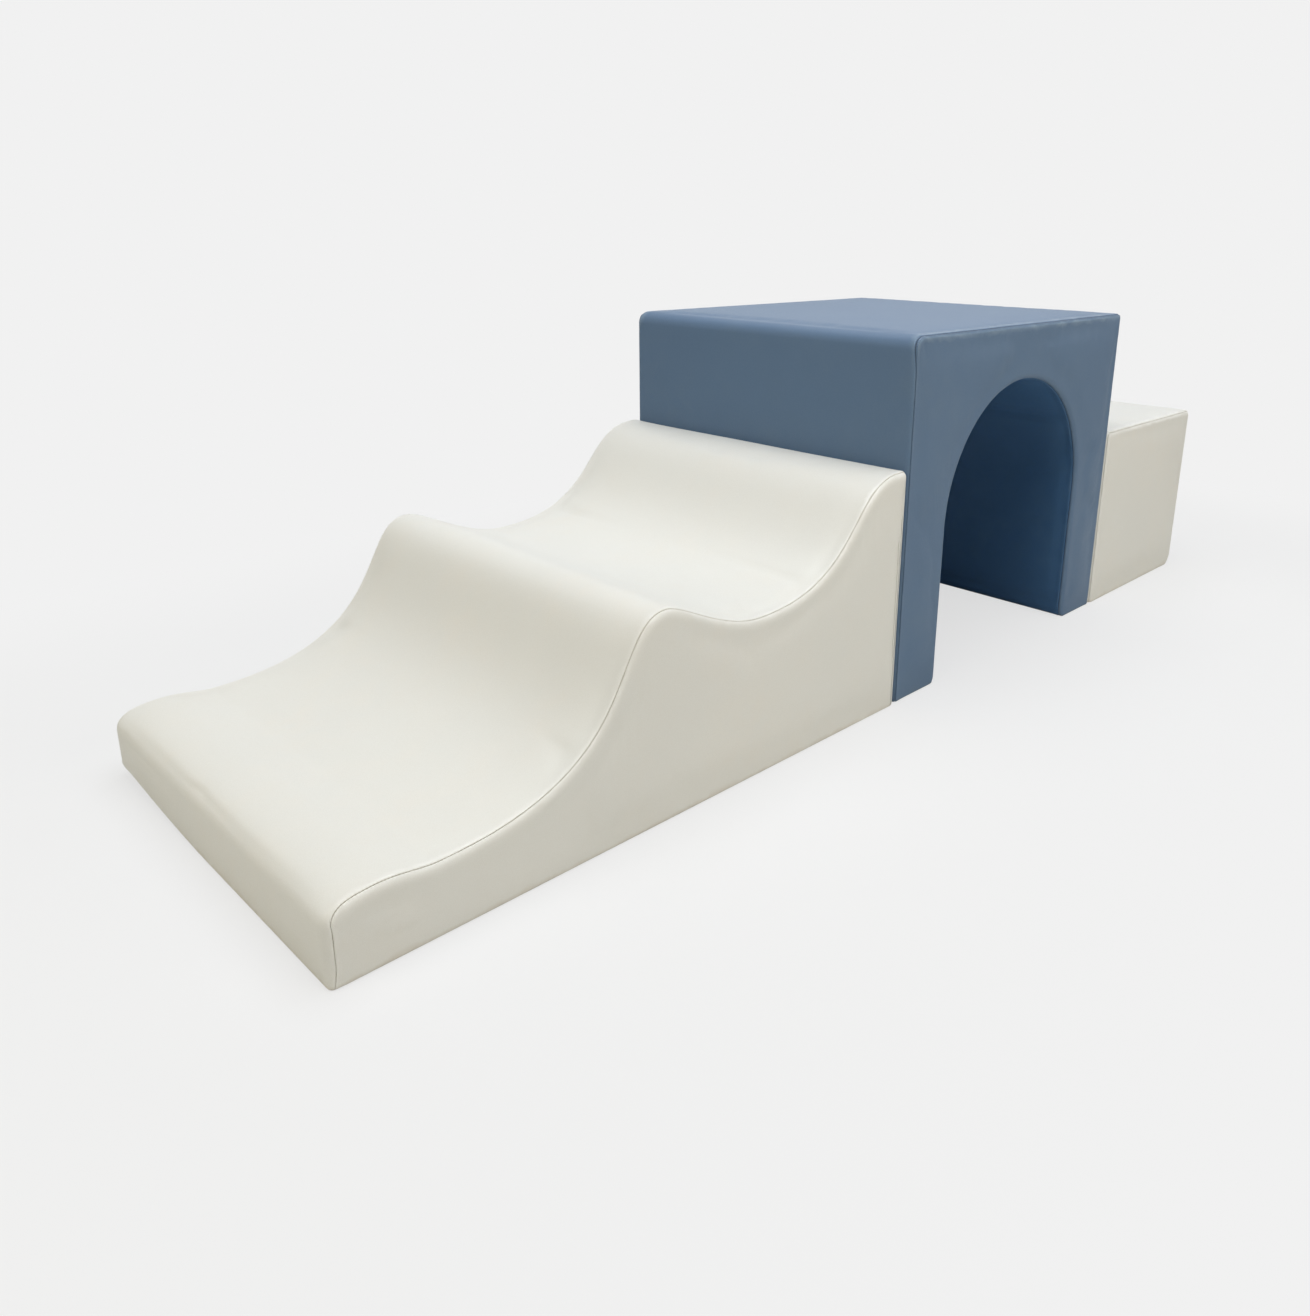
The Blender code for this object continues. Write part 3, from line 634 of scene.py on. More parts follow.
def addCurve(points, handles, steps):
    # A smooth curve from its first to its last handle
    legs = [[after[axis] - before[axis] for before, after in zip(handles, handles[1:])] for axis in (0, 1)]
    for step in range(1, steps + 1):
        share = step / steps
        rest = 1 - share
        weights = (rest ** 3, 3 * rest ** 2 * share, 3 * rest * share ** 2, share ** 3)
        speeds = (rest ** 2, 2 * rest * share, share ** 2)
        place = [sum(weight * handle[axis] for weight, handle in zip(weights, handles)) for axis in (0, 1)]
        heading = [sum(speed * leg for speed, leg in zip(speeds, legs[axis])) for axis in (0, 1)]
        length = math.hypot(*heading)
        points.append((*place, heading[1] / length, -heading[0] / length, endless, 0, 0))


def startFoot(x):
    # The tucked hem under a block's foot, then its small rolled edge
    roll, low = cover["footRoll"], cover["floorLift"]
    points = [(x + back, low, 1, 0, endless, 0, 0) for back in (roll + cover["tuck"], roll)]
    addArc(points, (x + roll, low + roll), roll, (270, 180), cover["footSteps"], inward=(1, 0))
    return points


def endFoot(points, x, roll, steps):
    low = cover["floorLift"]
    addArc(points, (x - roll, low + roll), roll, (0, -90), steps, inward=(-1, 0))
    points.append((x - (roll + cover["tuck"]), low, -1, 0, endless, 0, 0))


waveSizes = {
    "noseReach": 0.0686, "noseStraight": 0.0703, "noseHeight": 0.0995, "nosePull": (0.70, 0.63),
    "noseSteps": 18,
    # length, start height, end height, how hard it pulls level at both ends, steps
    "stretches": (
        (0.0654, 0.0995, 0.0922, (0.30, 0.20), 11),
        (0.3380, 0.0922, 0.2969, (0.888, 0.272), 60),
        (0.1816, 0.2969, 0.2396, (0.178, 0.410), 34),
        (0.3134, 0.2396, 0.3949, (0.709, 0.393), 56),
    ),
    "backRadius": 0.0105, "cornerSteps": 8, "railSteps": 26,
}
tunnelSizes = {
    "frontRadius": 0.022, "backRadius": 0.008, "cornerSteps": 12, "heel": cover["footRoll"], "heelSteps": 4,
    "frontSteps": 60, "topSteps": 82, "backSteps": 60, "railSteps": 0,
    "archWidth": 0.456, "archSpring": 0.276, "archFoot": 0.015,
    "archSteps": 96, "archLegSteps": 64, "archFootSteps": 5, "betweenSteps": 15,
}
stepSizes = {
    "frontRadius": 0.014, "backRadius": 0.014, "cornerSteps": 8, "heel": 0.028, "heelSteps": 8,
    "frontSteps": 34, "topSteps": 50, "backSteps": 30, "railSteps": 38,
}


def rampProfile(size, start, end, top):
    points = startFoot(start)
    upright = size["railSteps"] - cover["footSteps"]
    nose, rise = (start, size["noseStraight"]), size["noseHeight"] - size["noseStraight"]
    addLine(points, nose, (1, 0), upright)
    lift = (start, nose[1] + size["nosePull"][0] * rise)
    lead = (start + size["noseReach"] * (1 - size["nosePull"][1]), size["noseHeight"])
    along = start + size["noseReach"]
    addCurve(points, (nose, lift, lead, (along, size["noseHeight"])), size["noseSteps"])
    for length, low, high, pull, steps in size["stretches"]:
        leave = (along + pull[0] * length, low)
        arrive = (along + length * (1 - pull[1]), high)
        addCurve(points, ((along, low), leave, arrive, (along + length, high)), steps)
        along += length
    radius, landing = size["backRadius"], points[-1][1]
    addLine(points, (end - radius, landing), (0, -1), 1)
    addArc(points, (end - radius, landing - radius), radius, (90, 0), size["cornerSteps"], turn=(-1, -1))
    addLine(points, (end, cover["floorLift"] + cover["footRoll"]), (-1, 0), upright)
    endFoot(points, end, cover["footRoll"], cover["footSteps"])
    return points


def boxProfile(size, start, end, top):
    front, back, steps = size["frontRadius"], size["backRadius"], size["cornerSteps"]
    points = startFoot(start)
    addLine(points, (start, top - front), (1, 0), size["frontSteps"])
    addArc(points, (start + front, top - front), front, (180, 90), steps, turn=(1, -1))
    addLine(points, (end - back, top), (0, -1), size["topSteps"])
    addArc(points, (end - back, top - back), back, (90, 0), steps, turn=(-1, -1))
    addLine(points, (end, cover["floorLift"] + size["heel"]), (-1, 0), size["backSteps"])
    endFoot(points, end, size["heel"], size["heelSteps"])
    return points


def archProfile(size, start, end):
    # From the front foot, up its inner side, over the arch and down to the rear foot
    radius, half, low = size["archFoot"], size["archWidth"] / 2, cover["floorLift"]
    middle, spring = (start + end) / 2, size["archSpring"]
    left, right, hem = middle - half, middle + half, radius + cover["tuck"]
    steps = size["archFootSteps"]
    points = [(left - back, low, 0, 0, endless, 0, 0) for back in (hem, radius)]
    addArc(points, (left - radius, low + radius), radius, (-90, 0), steps, turn=(-1, 0), pull=(1, 0))
    addLine(points, (left, spring), (-1, 0), size["archLegSteps"])
    addArc(points, (middle, spring), half, (180, 0), size["archSteps"], pull=(-1, -1))
    addLine(points, (right, low + radius), (1, 0), size["archLegSteps"])
    addArc(points, (right + radius, low + radius), radius, (180, 270), steps, turn=(1, 0), pull=(1, 0))
    points.append((right + hem, low, 0, 0, endless, 0, 0))
    return points


def readProfile(points):
    table = np.array(points, float)
    lengths = np.hypot(np.diff(table[:, 0]), np.diff(table[:, 1]))
    return {"table": table, "run": np.concatenate(([0.0], np.cumsum(lengths)))}


def setIn(profile, inset):
    # Where the profile's points are once they are moved in by these amounts
    x, z, nearX, nearZ, limit, pastX, pastZ = profile["table"].T
    near, past = np.minimum(inset, limit), np.maximum(inset - limit, 0)
    return x + nearX * near + pastX * past, z + nearZ * near + pastZ * past


def shapeEdge(down, into, seam):
    # Section of a rounded edge: down the side face, into the wrap, and where on it the seam lies
    angles = np.linspace(0, math.pi / 2, cover["edgeSamples"])
    insets = down * (1 - np.cos(angles))
    sides = into * (1 - np.sin(angles))
    runs = np.concatenate(([0.0], np.cumsum(np.hypot(np.diff(insets), np.diff(sides)))))
    seamRun = np.interp(math.radians(seam), angles, runs)
    return {"insets": insets, "sides": sides, "runs": runs, "seam": seamRun}


def footTuck(heights):
    # How far the skin rolls in just above the floor
    roll = cover["footRoll"]
    share = np.clip(1 - (heights - cover["floorLift"]) / roll, 0, 1)
    return roll * (1 - np.sqrt(1 - share ** 2))


def edgeRow(profile, edge, halfWidth, hand, run, footShare=1.0):
    # One row of places at a distance round the rounded edge
    inset = np.interp(run, edge["runs"], edge["insets"]) + np.maximum(run - edge["runs"][-1], 0)
    side = np.interp(run, edge["runs"], edge["sides"]) * profile.get("sideScale", 1.0) + np.maximum(-run, 0)
    x, z = setIn(profile, inset * profile.get("insetScale", 1.0))
    return np.stack((x, hand * (halfWidth - side - footTuck(z) * footShare), z), axis=1)


# Distances from a seam at which a wrap and a side cover have a row of points
wrapRows = np.array((
    0, 0.2, 0.45, 0.8, 1.2, 1.7, 2.4, 3.3, 4.5, 6.0, 8.0, 10.5, 13.5, 17.0, 21.0, 26.0, 32.0, 39.0,
)) / 1000
sideRows = np.append(wrapRows[:12], 0.013)


def startSheet(places, distances, runs):
    bm = bmesh.new()
    for label in ("seamDistance", "seamRun"):
        bm.verts.layers.float.new(label)
    for label in ("column", "row"):
        bm.verts.layers.int.new(label)
    verts = [bm.verts.new(place) for place in places]
    chain = [bm.edges.new(pair) for pair in zip(verts, verts[1:])]
    away, along = (bm.verts.layers.float[label] for label in ("seamDistance", "seamRun"))
    column = bm.verts.layers.int["column"]
    for index, vert in enumerate(verts):
        vert[column], vert[along], vert[away] = index, runs[index], distances[index]
    return bm, chain


def drawOut(bm, edges):
    # New faces along the edges, and the edges and points at their far side
    grown = bmesh.ops.extrude_edge_only(bm, edges=edges)["geom"]
    kinds = (bmesh.types.BMEdge, bmesh.types.BMVert)
    return [[item for item in grown if isinstance(item, kind)] for kind in kinds]


def growSheet(bm, chain, rows):
    # Draws the free edge of the leather out to each of the rows
    column, row = (bm.verts.layers.int[label] for label in ("column", "row"))
    away = bm.verts.layers.float["seamDistance"]
    for places, distances in rows:
        chain, verts = drawOut(bm, chain)
        for vert in verts:
            vert.co = places[vert[column]]
            vert[away] = distances[vert[column]]
            vert[row] += 1
    return chain


def turnOutward(bm, middle, away=1):
    bm.normal_update()
    total = sum(face.normal.dot(face.calc_center_median() - middle) * face.calc_area() for face in bm.faces)
    if total * away < 0:
        bmesh.ops.reverse_faces(bm, faces=bm.faces[:])


def seamWander(profile, edge, hand, seed):
    # The seam never runs quite straight: its place on the rounded edge, at each point of the profile
    pace, aside = cover["seamPace"], hand * cover["sidesApart"]
    offsets = [noise.noise(Vector((run * pace, aside, seed))) for run in profile["run"]]
    return edge["seam"] + profile.get("seamShift", 0.0) + cover["seamDrift"] * np.array(offsets)


def wrapSheet(block, profile, edge, middle, away):
    # One length of leather from the near seam to the far seam
    span = np.ones(len(profile["run"])) * profile.get("seamSpan", 1.0)
    near, far = [], []
    for hand, rows in ((-1, near), (1, far)):
        seam = seamWander(profile, edge, hand, block["seed"])
        for distance in wrapRows:
            footShare = max(0.0, 1 - distance / cover["tuckFade"])
            places = edgeRow(profile, edge, block["width"] / 2, hand, seam - distance, footShare)
            rows.append((places, distance * span))
    first, last, steps = near[-1][0], far[-1][0], cover["crossSteps"]
    across = []
    for step in range(1, steps):
        spare = min(step, steps - step) / steps * np.abs(last[:, 1] - first[:, 1])
        across.append((first + (last - first) * step / steps, wrapRows[-1] * span + spare))
    bm, chain = startSheet(*near[0], profile["run"])
    growSheet(bm, chain, near[1:] + across + far[::-1])
    turnOutward(bm, middle, away)
    return bm


def panelRows(block, profile, edge, hand, hem=0.0):
    seam = seamWander(profile, edge, hand, block["seed"])
    rows = []
    for distance in sideRows:
        share = distance / sideRows[-1]
        run = seam + share * (edge["runs"][-1] - seam)
        places = edgeRow(profile, edge, block["width"] / 2, hand, run)
        places[[0, -1], 1] -= hand * hem * share
        rows.append((places, (run - seam) * profile.get("seamSpan", 1.0)))
    return rows


def growTree(places):
    tree = kdtree.KDTree(len(places))
    for index, place in enumerate(places):
        tree.insert(place, index)
    tree.balance()
    return tree


def sidePanelSheet(block, hand):
    # Rings that follow the wrap, then rows down to the floor
    profile = {name: values[1:-1] for name, values in block["profile"].items()}
    rows = panelRows(block, profile, block["edge"], hand)
    bm, chain = startSheet(*rows[0], profile["run"])
    chain = growSheet(bm, chain, rows[1:])
    ring, depth = rows[-1][0], rows[-1][1].max()
    rail, low = block["railSteps"], cover["floorLift"]
    upper = slice(rail, len(ring) - rail)
    column = bm.verts.layers.int["column"]
    chain = [edge for edge in chain if all(upper.start <= vert[column] < upper.stop for vert in edge.verts)]
    top = ring[upper]
    along = (top[:, 0] - top[0, 0]) / (top[-1, 0] - top[0, 0])
    foot = ring[0, 0] + (ring[-1, 0] - ring[0, 0]) * along
    nearest = growTree([(x, 0, z) for x, y, z in ring])
    rows = []
    for step in range(1, rail + 1):
        left, right = ring[rail - step], ring[upper.stop - 1 + step]
        leftDown, rightDown = (left[2] - low) / (top[0, 2] - low), (right[2] - low) / (top[-1, 2] - low)
        down = leftDown * (1 - along) + rightDown * along
        x = top[:, 0] * down + foot * (1 - down)
        x += (left[0] - x[0]) * (1 - along) + (right[0] - x[-1]) * along
        z = low + (top[:, 2] - low) * down
        body = np.stack((x, hand * (block["width"] / 2 - footTuck(z)), z), axis=1)
        body[0], body[-1] = left, right
        places, distances = ring.copy(), np.full(len(ring), depth)
        places[upper] = body
        distances[upper] = [depth + nearest.find((spot[0], 0, spot[2]))[2] for spot in body]
        rows.append((places, distances))
    rows.append((places - (0, hand * cover["tuck"], 0), distances))
    growSheet(bm, chain, rows)
    bmesh.ops.remove_doubles(bm, verts=bm.verts[:], dist=nearly)
    turnOutward(bm, block["middle"])
    return bm


def tunnelFaceSheet(block, hand):
    # An upside-down U, from the outer seam to the seam round the arch
    outer = panelRows(block, block["profile"], block["edge"], hand, cover["tuck"])
    arch = panelRows(block, block["arch"], block["archEdge"], hand, cover["tuck"])
    (first, nearOuter), (last, nearArch) = outer[-1], arch[-1]
    gap = np.linalg.norm(last - first, axis=1)
    between = []
    for step in range(1, tunnelSizes["betweenSteps"]):
        share = step / tunnelSizes["betweenSteps"]
        places = first + (last - first) * share
        places[:, 1] = hand * (block["width"] / 2 - footTuck(places[:, 2]))
        places[[0, -1], 1] -= hand * cover["tuck"]
        between.append((places, nearOuter * (1 - share) + nearArch * share + gap * min(share, 1 - share)))
    bm, chain = startSheet(*outer[0], block["profile"]["run"])
    growSheet(bm, chain, outer[1:] + between + arch[::-1])
    turnOutward(bm, block["middle"])
    return bm


def closeBlock(block, edge, setBack, low, roundSteps):
    # The whole block as one closed skin
    profiles = [block["profile"]]
    if "arch" in block:
        profiles.append({"table": block["arch"]["table"][::-1]})
    blank = np.zeros(sum(len(profile["table"]) for profile in profiles))
    shares = np.linspace(1, 0, roundSteps)
    rows = []
    for hand, share in [(-1, share) for share in shares] + [(1, share) for share in shares[::-1]]:
        run = edge["runs"][-1] * share
        inset = np.interp(run, edge["runs"], edge["insets"]) + setBack
        y = hand * (block["width"] / 2 - np.interp(run, edge["runs"], edge["sides"]) - setBack)
        outlines = [setIn(profile, inset) for profile in profiles]
        places = np.concatenate([np.stack((x, np.full(len(x), y), z), axis=1) for x, z in outlines])
        places[:, 2] = np.maximum(places[:, 2], low)
        roundFoot(block, places)
        rows.append((places, blank))
    bm, chain = startSheet(*rows[0], blank)
    bm.verts.ensure_lookup_table()
    chain.append(bm.edges.new((bm.verts[len(blank) - 1], bm.verts[0])))
    bmesh.ops.edgeloop_fill(bm, edges=chain)
    chain = growSheet(bm, chain, rows[1:])
    bmesh.ops.edgeloop_fill(bm, edges=chain)
    bmesh.ops.remove_doubles(bm, verts=bm.verts[:], dist=nearly)
    bmesh.ops.recalc_face_normals(bm, faces=bm.faces[:])
    return bm


# Swelling of the covers: a coarse closed copy of the block is blown up a little, its seams, foot and
# the faces towards its neighbours held; the fine covers take over how far it has moved

swellFit = {
    "voxel": 0.016, "frames": 20, "seamHold": 0.020, "floorHold": 0.014, "flushHold": 0.006,
    "edge": (0.012, 0.009), "edgeSteps": 5, "most": 0.0034, "dent": 0.0003, "seamFade": 0.024,
    "nearest": 6, "blur": 0.001,
    "cloth": {
        "quality": 4, "mass": 0.3, "tension_stiffness": 60.0, "compression_stiffness": 60.0,
        "shear_stiffness": 30.0, "bending_stiffness": 3.0, "shrink_min": -0.004,
        "use_pressure": True, "uniform_pressure_force": 4.0, "vertex_group_mass": "held",
    },
}


def holdSkin(block, holder, rest):
    # Pins the seams, the foot and the faces towards the neighbours
    fit = swellFit
    lines = [("profile", "edge")] + ([("arch", "archEdge")] if "arch" in block else [])
    seams = []
    for line, edge in lines:
        seams += [panelRows(block, block[line], block[edge], hand)[0][0] for hand in (-1, 1)]
    seams = growTree(np.concatenate(seams)[::3])
    held = holder.vertex_groups.new(name="held")
    for index, place in enumerate(rest):
        hold = max(0.0, 1 - seams.find(place)[2] / fit["seamHold"])
        close = any(abs(place[0] - end) < fit["flushHold"] for end, hand in block["flush"])
        if close or place[2] < fit["floorHold"]:
            hold = 1.0
        if hold > 0:
            held.add([index], hold, "REPLACE")


def swellBlock(block):
    fit = swellFit
    bm = closeBlock(block, shapeEdge(*fit["edge"], 0), 0.0, cover["floorLift"], fit["edgeSteps"])
    holder = placeThing("swelling", toMesh(bm))
    even = holder.modifiers.new("even", "REMESH")
    even.mode = "VOXEL"
    even.voxel_size = fit["voxel"]
    mesh = bakeShape(holder)
    holder.modifiers.clear()
    holder.data = mesh
    rest = readNumbers(mesh.vertices, "co")
    holdSkin(block, holder, rest)
    cloth = holder.modifiers.new("swell", "CLOTH")
    for name, value in fit["cloth"].items():
        setattr(cloth.settings, name, value)
    cloth.settings.effector_weights.gravity = 0
    cloth.collision_settings.use_collision = False
    cloth.point_cache.frame_start = 1
    cloth.point_cache.frame_end = fit["frames"]
    for moment in range(1, fit["frames"] + 1):
        scene.frame_set(moment)
    moved = bakeShape(holder)
    shift = readNumbers(moved.vertices, "co") - rest
    scene.frame_set(1)
    bpy.data.objects.remove(holder, do_unlink=True)
    for spent in (mesh, moved):
        bpy.data.meshes.remove(spent)
    length = np.linalg.norm(shift, axis=1)
    print(block["body"], "swollen", len(rest), "points, middle", np.median(length), "most", length.max())
    return growTree(rest), shift


def readSwell(block, places, normals):
    # How far the swelling lifts each place, from the nearest points of the coarse copy
    tree, shift = block["swell"]
    most, dent = swellFit["most"], swellFit["dent"]
    lift = np.empty(len(places))
    for index, place in enumerate(places):
        near = tree.find_n(place, swellFit["nearest"])
        weights = np.array([1 / (distance + swellFit["blur"]) ** 2 for spot, number, distance in near])
        moves = shift[[number for spot, number, distance in near]]
        lift[index] = weights @ moves @ normals[index] / weights.sum()
    return np.where(lift > 0, most * np.tanh(lift / most), -dent * np.tanh(-lift / dent))


# How the leather lies over the foam: depth and width of a seam's groove, the swell beside it, the
# gathers and the fold along it, the crown of a whole panel, slow ripples, and where the leather is held

ivoryFit = {
    "groove": 0.0010, "grooveWidth": 0.0014, "swell": 0.00035, "swellAt": 0.006,
    "gather": 0.00040, "gatherLength": 0.022, "gatherReach": 0.009, "gatherStart": 0.0015,
    "gatherPatch": (0.6, 5), "fold": 0, "foldAt": 0.0046, "foldDrift": 0.35, "foldWidth": 0.0011,
    "foldShare": (0.35, 1.4), "foldDrop": (0.035, 0.02), "crown": 0.0018, "crownReach": 0.070,
    "ripple": 0.0006, "rippleLength": 0.16, "rippleStart": 0.02, "footFree": (0.004, 0.05),
    "flushReach": 0.03, "flushFacing": (0.5, 0.4), "flushMost": 0.0003,
}
blueFit = dict(
    ivoryFit, groove=0.0015, grooveWidth=0.0018, gather=0.0006, gatherLength=0.026, gatherReach=0.012,
    fold=0.0007,
)

# Pulls in the tunnel's faces: along and down from the top front corner at both ends, half width, rise.
# They fade at the edge of the face and taper towards their second end
pullFit = {"edge": 0.006, "edgeFade": 0.005, "taper": 0.7}
facePulls = (
    (0.010, 0.008, 0.018, 0.075, 0.0045, 0.0011), (0.024, 0.004, 0.040, 0.034, 0.0050, 0.0007),
    (0.130, 0.010, 0.150, 0.060, 0.0080, 0.0006), (0.262, 0.012, 0.250, 0.052, 0.0060, 0.0008),
    (0.345, 0.008, 0.372, 0.046, 0.0080, 0.0006), (0.455, 0.008, 0.440, 0.060, 0.0070, 0.0007),
    (0.690, 0.010, 0.676, 0.080, 0.0050, 0.0010), (0.560, 0.150, 0.600, 0.250, 0.0120, 0.0006),
    (0.140, 0.190, 0.090, 0.280, 0.0120, 0.0005), (0.640, 0.380, 0.625, 0.520, 0.0090, 0.0006),
)


def pullFace(block, places):
    # Narrow ridges where the leather is drawn tight, mirrored on the far face
    rise, fit = np.zeros(len(places)), pullFit
    onFace = np.clip((np.abs(places[:, 1]) - block["width"] / 2 + fit["edge"]) / fit["edgeFade"], 0, 1)
    x = np.where(places[:, 1] > 0, block["end"] - places[:, 0], places[:, 0] - block["start"])
    z = block["top"] - places[:, 2]
    for along, down, alongEnd, downEnd, width, height in facePulls:
        wayX, wayZ = alongEnd - along, downEnd - down
        spot = np.clip(((x - along) * wayX + (z - down) * wayZ) / (wayX ** 2 + wayZ ** 2), 0, 1)
        aside = np.hypot(x - along - wayX * spot, z - down - wayZ * spot)
        rise += height * np.exp(-(aside / width) ** 2) * (1 - fit["taper"] * spot)
    return rise * onFace


def roundFoot(block, places):
    # Rounds the two lower corners of the ramp's nose, less and less towards the back
    for hand, radius in block.get("footCorners", {}).items():
        fromSide = radius - (block["width"] / 2 - hand * places[:, 1])
        fromFloor = radius - places[:, 2]
        inCorner = (fromSide > 0) & (fromFloor > 0)
        across, up = (np.where(inCorner, inside, 1) for inside in (fromSide, fromFloor))
        drawn = np.maximum(across, up) / np.hypot(across, up)
        back = np.clip((places[:, 0] - block["start"]) / (radius * block["footFade"]), 0, 1)
        drawn = np.where(inCorner, drawn + (1 - drawn) * ease(back), 1)
        places[:, 1] -= hand * across * (1 - drawn) * inCorner
        places[:, 2] += up * (1 - drawn) * inCorner
    if "footLift" in block:
        # The far corner of the foot stands clear of the floor
        rise, reach, back, height, bend = block["footLift"]
        share = np.clip(places[:, 1] / reach, 0, 1) ** bend
        for away in ((places[:, 0] - block["start"]) / back, places[:, 2] / height):
            share *= ease(1 - np.clip(away, 0, 1))
        places[:, 2] += rise * share


def layLeather(block, mesh):
    # Moves the skin along its normals, and holds it where it stands against another block
    fit = block["fit"]
    places = readNumbers(mesh.vertices, "co")
    normals = readNumbers(mesh.vertex_normals, "vector")
    away = readNumbers(mesh.attributes["seamDistance"].data, "value", 1)
    groove = np.clip(1 - away / fit["grooveWidth"], 0, 1)
    near = away / fit["swellAt"]
    amount = fit["swell"] * near * np.exp(1 - near) - fit["groove"] * (1 - np.sqrt(1 - groove ** 2))
    gathers, ripples = np.empty(len(places)), np.empty(len(places))
    least, pace = fit["gatherPatch"]
    for index, spot in enumerate(places):
        place = Vector(spot)
        along = place / fit["gatherLength"] + Vector((0, 0, block["seed"]))
        gathers[index] = noise.noise(along) * (least + noise.noise(place * pace))
        ripples[index] = noise.noise(place / fit["rippleLength"] + Vector((block["seed"], 0, 0)))
    started = 1 - np.exp(-away / fit["gatherStart"])
    amount += fit["gather"] * gathers * np.exp(-away / fit["gatherReach"]) * started
    if fit["fold"]:
        # A shallow fold runs beside the seam along the top, deeper in some places
        at = fit["foldAt"] * (1 + fit["foldDrift"] * ripples)
        (usual, varied), (drop, fade) = fit["foldShare"], fit["foldDrop"]
        patch = np.clip(usual + varied * gathers, 0, 1)
        patch *= np.clip((places[:, 2] - block["top"] + drop) / fade, 0, 1)
        amount -= fit["fold"] * patch * np.exp(-((away - at) / fit["foldWidth"]) ** 2)
        amount += pullFace(block, places)
    if "swell" in block:
        crown = readSwell(block, places, normals) * (1 - np.exp(-away / swellFit["seamFade"]))
    else:
        crown = fit["crown"] * (1 - np.exp(-away / fit["crownReach"]))
    loose = crown + fit["ripple"] * ripples * (1 - np.exp(-away / fit["rippleStart"]))
    (held, free), (turned, further) = fit["footFree"], fit["flushFacing"]
    loose *= ease(np.clip((places[:, 2] - held) / free, 0, 1))
    for end, hand in block["flush"]:
        facing = np.clip((hand * normals[:, 0] - turned) / further, 0, 1)
        close = np.abs(places[:, 0] - end) < fit["flushReach"]
        loose *= 1 - facing * close
        amount = np.where((facing > 0.5) & close, np.minimum(amount, fit["flushMost"]), amount)
    amount += loose
    amount[places[:, 2] < cover["floorLift"] + cover["floorSpare"]] = 0
    places += normals * amount[:, None]
    places[:, 2] = np.maximum(places[:, 2], cover["floorLift"])
    roundFoot(block, places)
    mesh.vertices.foreach_set("co", places.ravel())
    mesh.update()


def finishPiece(mesh, name, material, body, node, thickness=0, sharp=None):
    mesh.name = name
    mesh.shade_smooth()
    if sharp:
        mesh.set_sharp_from_angle(angle=math.radians(sharp))
    mesh.materials.clear()
    mesh.materials.append(material)
    piece = placeThing(name, mesh)
    if thickness:
        wall = piece.modifiers.new("wall", "SOLIDIFY")
        wall.thickness = thickness
        wall.offset = -1
        wall.use_rim = True
    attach(piece, body)
    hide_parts(node)


# Each block's rounded edge (down the side, into the wrap, angle of the seam on it) and how it changes along
# the profile. flush: the ends that stand against another block, -1 its front and 1 its back. span: what the
# distances from the seam are multiplied by, so that its groove and wrinkles get narrower
rampShape = {
    "edge": (0.015, 0.009, 24), "flush": (1,), "noseSeam": 66, "noseFade": 0.045, "noseFuller": 0.75,
    "footReach": 0.034, "footTight": (1.15, 0.60), "span": (1.4, 0.9),
    "footCorners": {1: 0.024, -1: 0.0045}, "footFade": 5,
    # rise, how far across, back and up it reaches, and how it bends
    "footLift": (0.015, 0.27, 0.22, 0.075, 1.7),
}
tunnelShape = {
    "edge": (0.0075, 0.0085, 32), "flush": (-1, 1), "uprightSeam": 64, "uprightDrop": (0.055, 0.045),
    "span": (2.1, 1.45), "archEdge": (0.011, 0.012, 24), "archSpan": 1.9,
}
stepShape = {"edge": (0.0135, 0.009, 42), "flush": (-1,), "span": 1.25}


def blockOf(body, topNode, sideStem, seed, size, shape, makeProfile, look, fit, slot):
    low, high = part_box(topNode)
    return {
        "body": body, "topNode": topNode, "sideStem": sideStem, "seed": seed, "look": look, "fit": fit,
        "slot": slot, "start": low.x, "end": high.x, "top": high.z, "edge": shapeEdge(*shape["edge"]),
        "width": -2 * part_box(sideStem + "near")[0].y, "railSteps": size["railSteps"],
        "profile": readProfile(makeProfile(size, low.x, high.x, high.z)),
        "flush": [(low.x if hand < 0 else high.x, hand) for hand in shape["flush"]],
        "middle": Vector(((low.x + high.x) / 2, 0, high.z * cover["middleHeight"])),
    }


def moveSeam(shape, angle):
    # How far the seam moves round the edge when it lies at another angle
    down, into, usual = shape["edge"]
    return shapeEdge(down, into, angle)["seam"] - shapeEdge(down, into, usual)["seam"]


def tuneRamp(shape):
    # On the nose the seam drops close to the side and the edge is fuller, but tight again at the floor
    line, (sideTight, insetTight), (usual, more) = ramp["profile"], shape["footTight"], shape["span"]
    nose = ease(np.clip(1 - (line["run"] - waveSizes["noseStraight"]) / shape["noseFade"], 0, 1))
    foot = np.clip(1 - line["run"] / shape["footReach"], 0, 1) ** 2
    line["seamShift"] = nose * moveSeam(shape, shape["noseSeam"])
    line["sideScale"] = 1 + shape["noseFuller"] * nose - sideTight * foot
    line["insetScale"] = 1 - insetTight * foot
    line["seamSpan"] = usual + more * nose
    for name in ("footCorners", "footFade", "footLift"):
        ramp[name] = shape[name]


def tuneTunnel(shape):
    # The seam lies high on the top edge and further round on the upright edges
    line, (drop, fade), (most, less) = tunnel["profile"], shape["uprightDrop"], shape["span"]
    level = np.clip((line["table"][:, 1] - tunnel["top"] + drop) / fade, 0, 1)
    line["seamShift"] = (1 - level) * moveSeam(shape, shape["uprightSeam"])
    line["seamSpan"] = most - less * level
    tunnel["arch"] = readProfile(archProfile(tunnelSizes, tunnel["start"], tunnel["end"]))
    tunnel["arch"]["seamSpan"] = shape["archSpan"]
    tunnel["archEdge"] = shapeEdge(*shape["archEdge"])


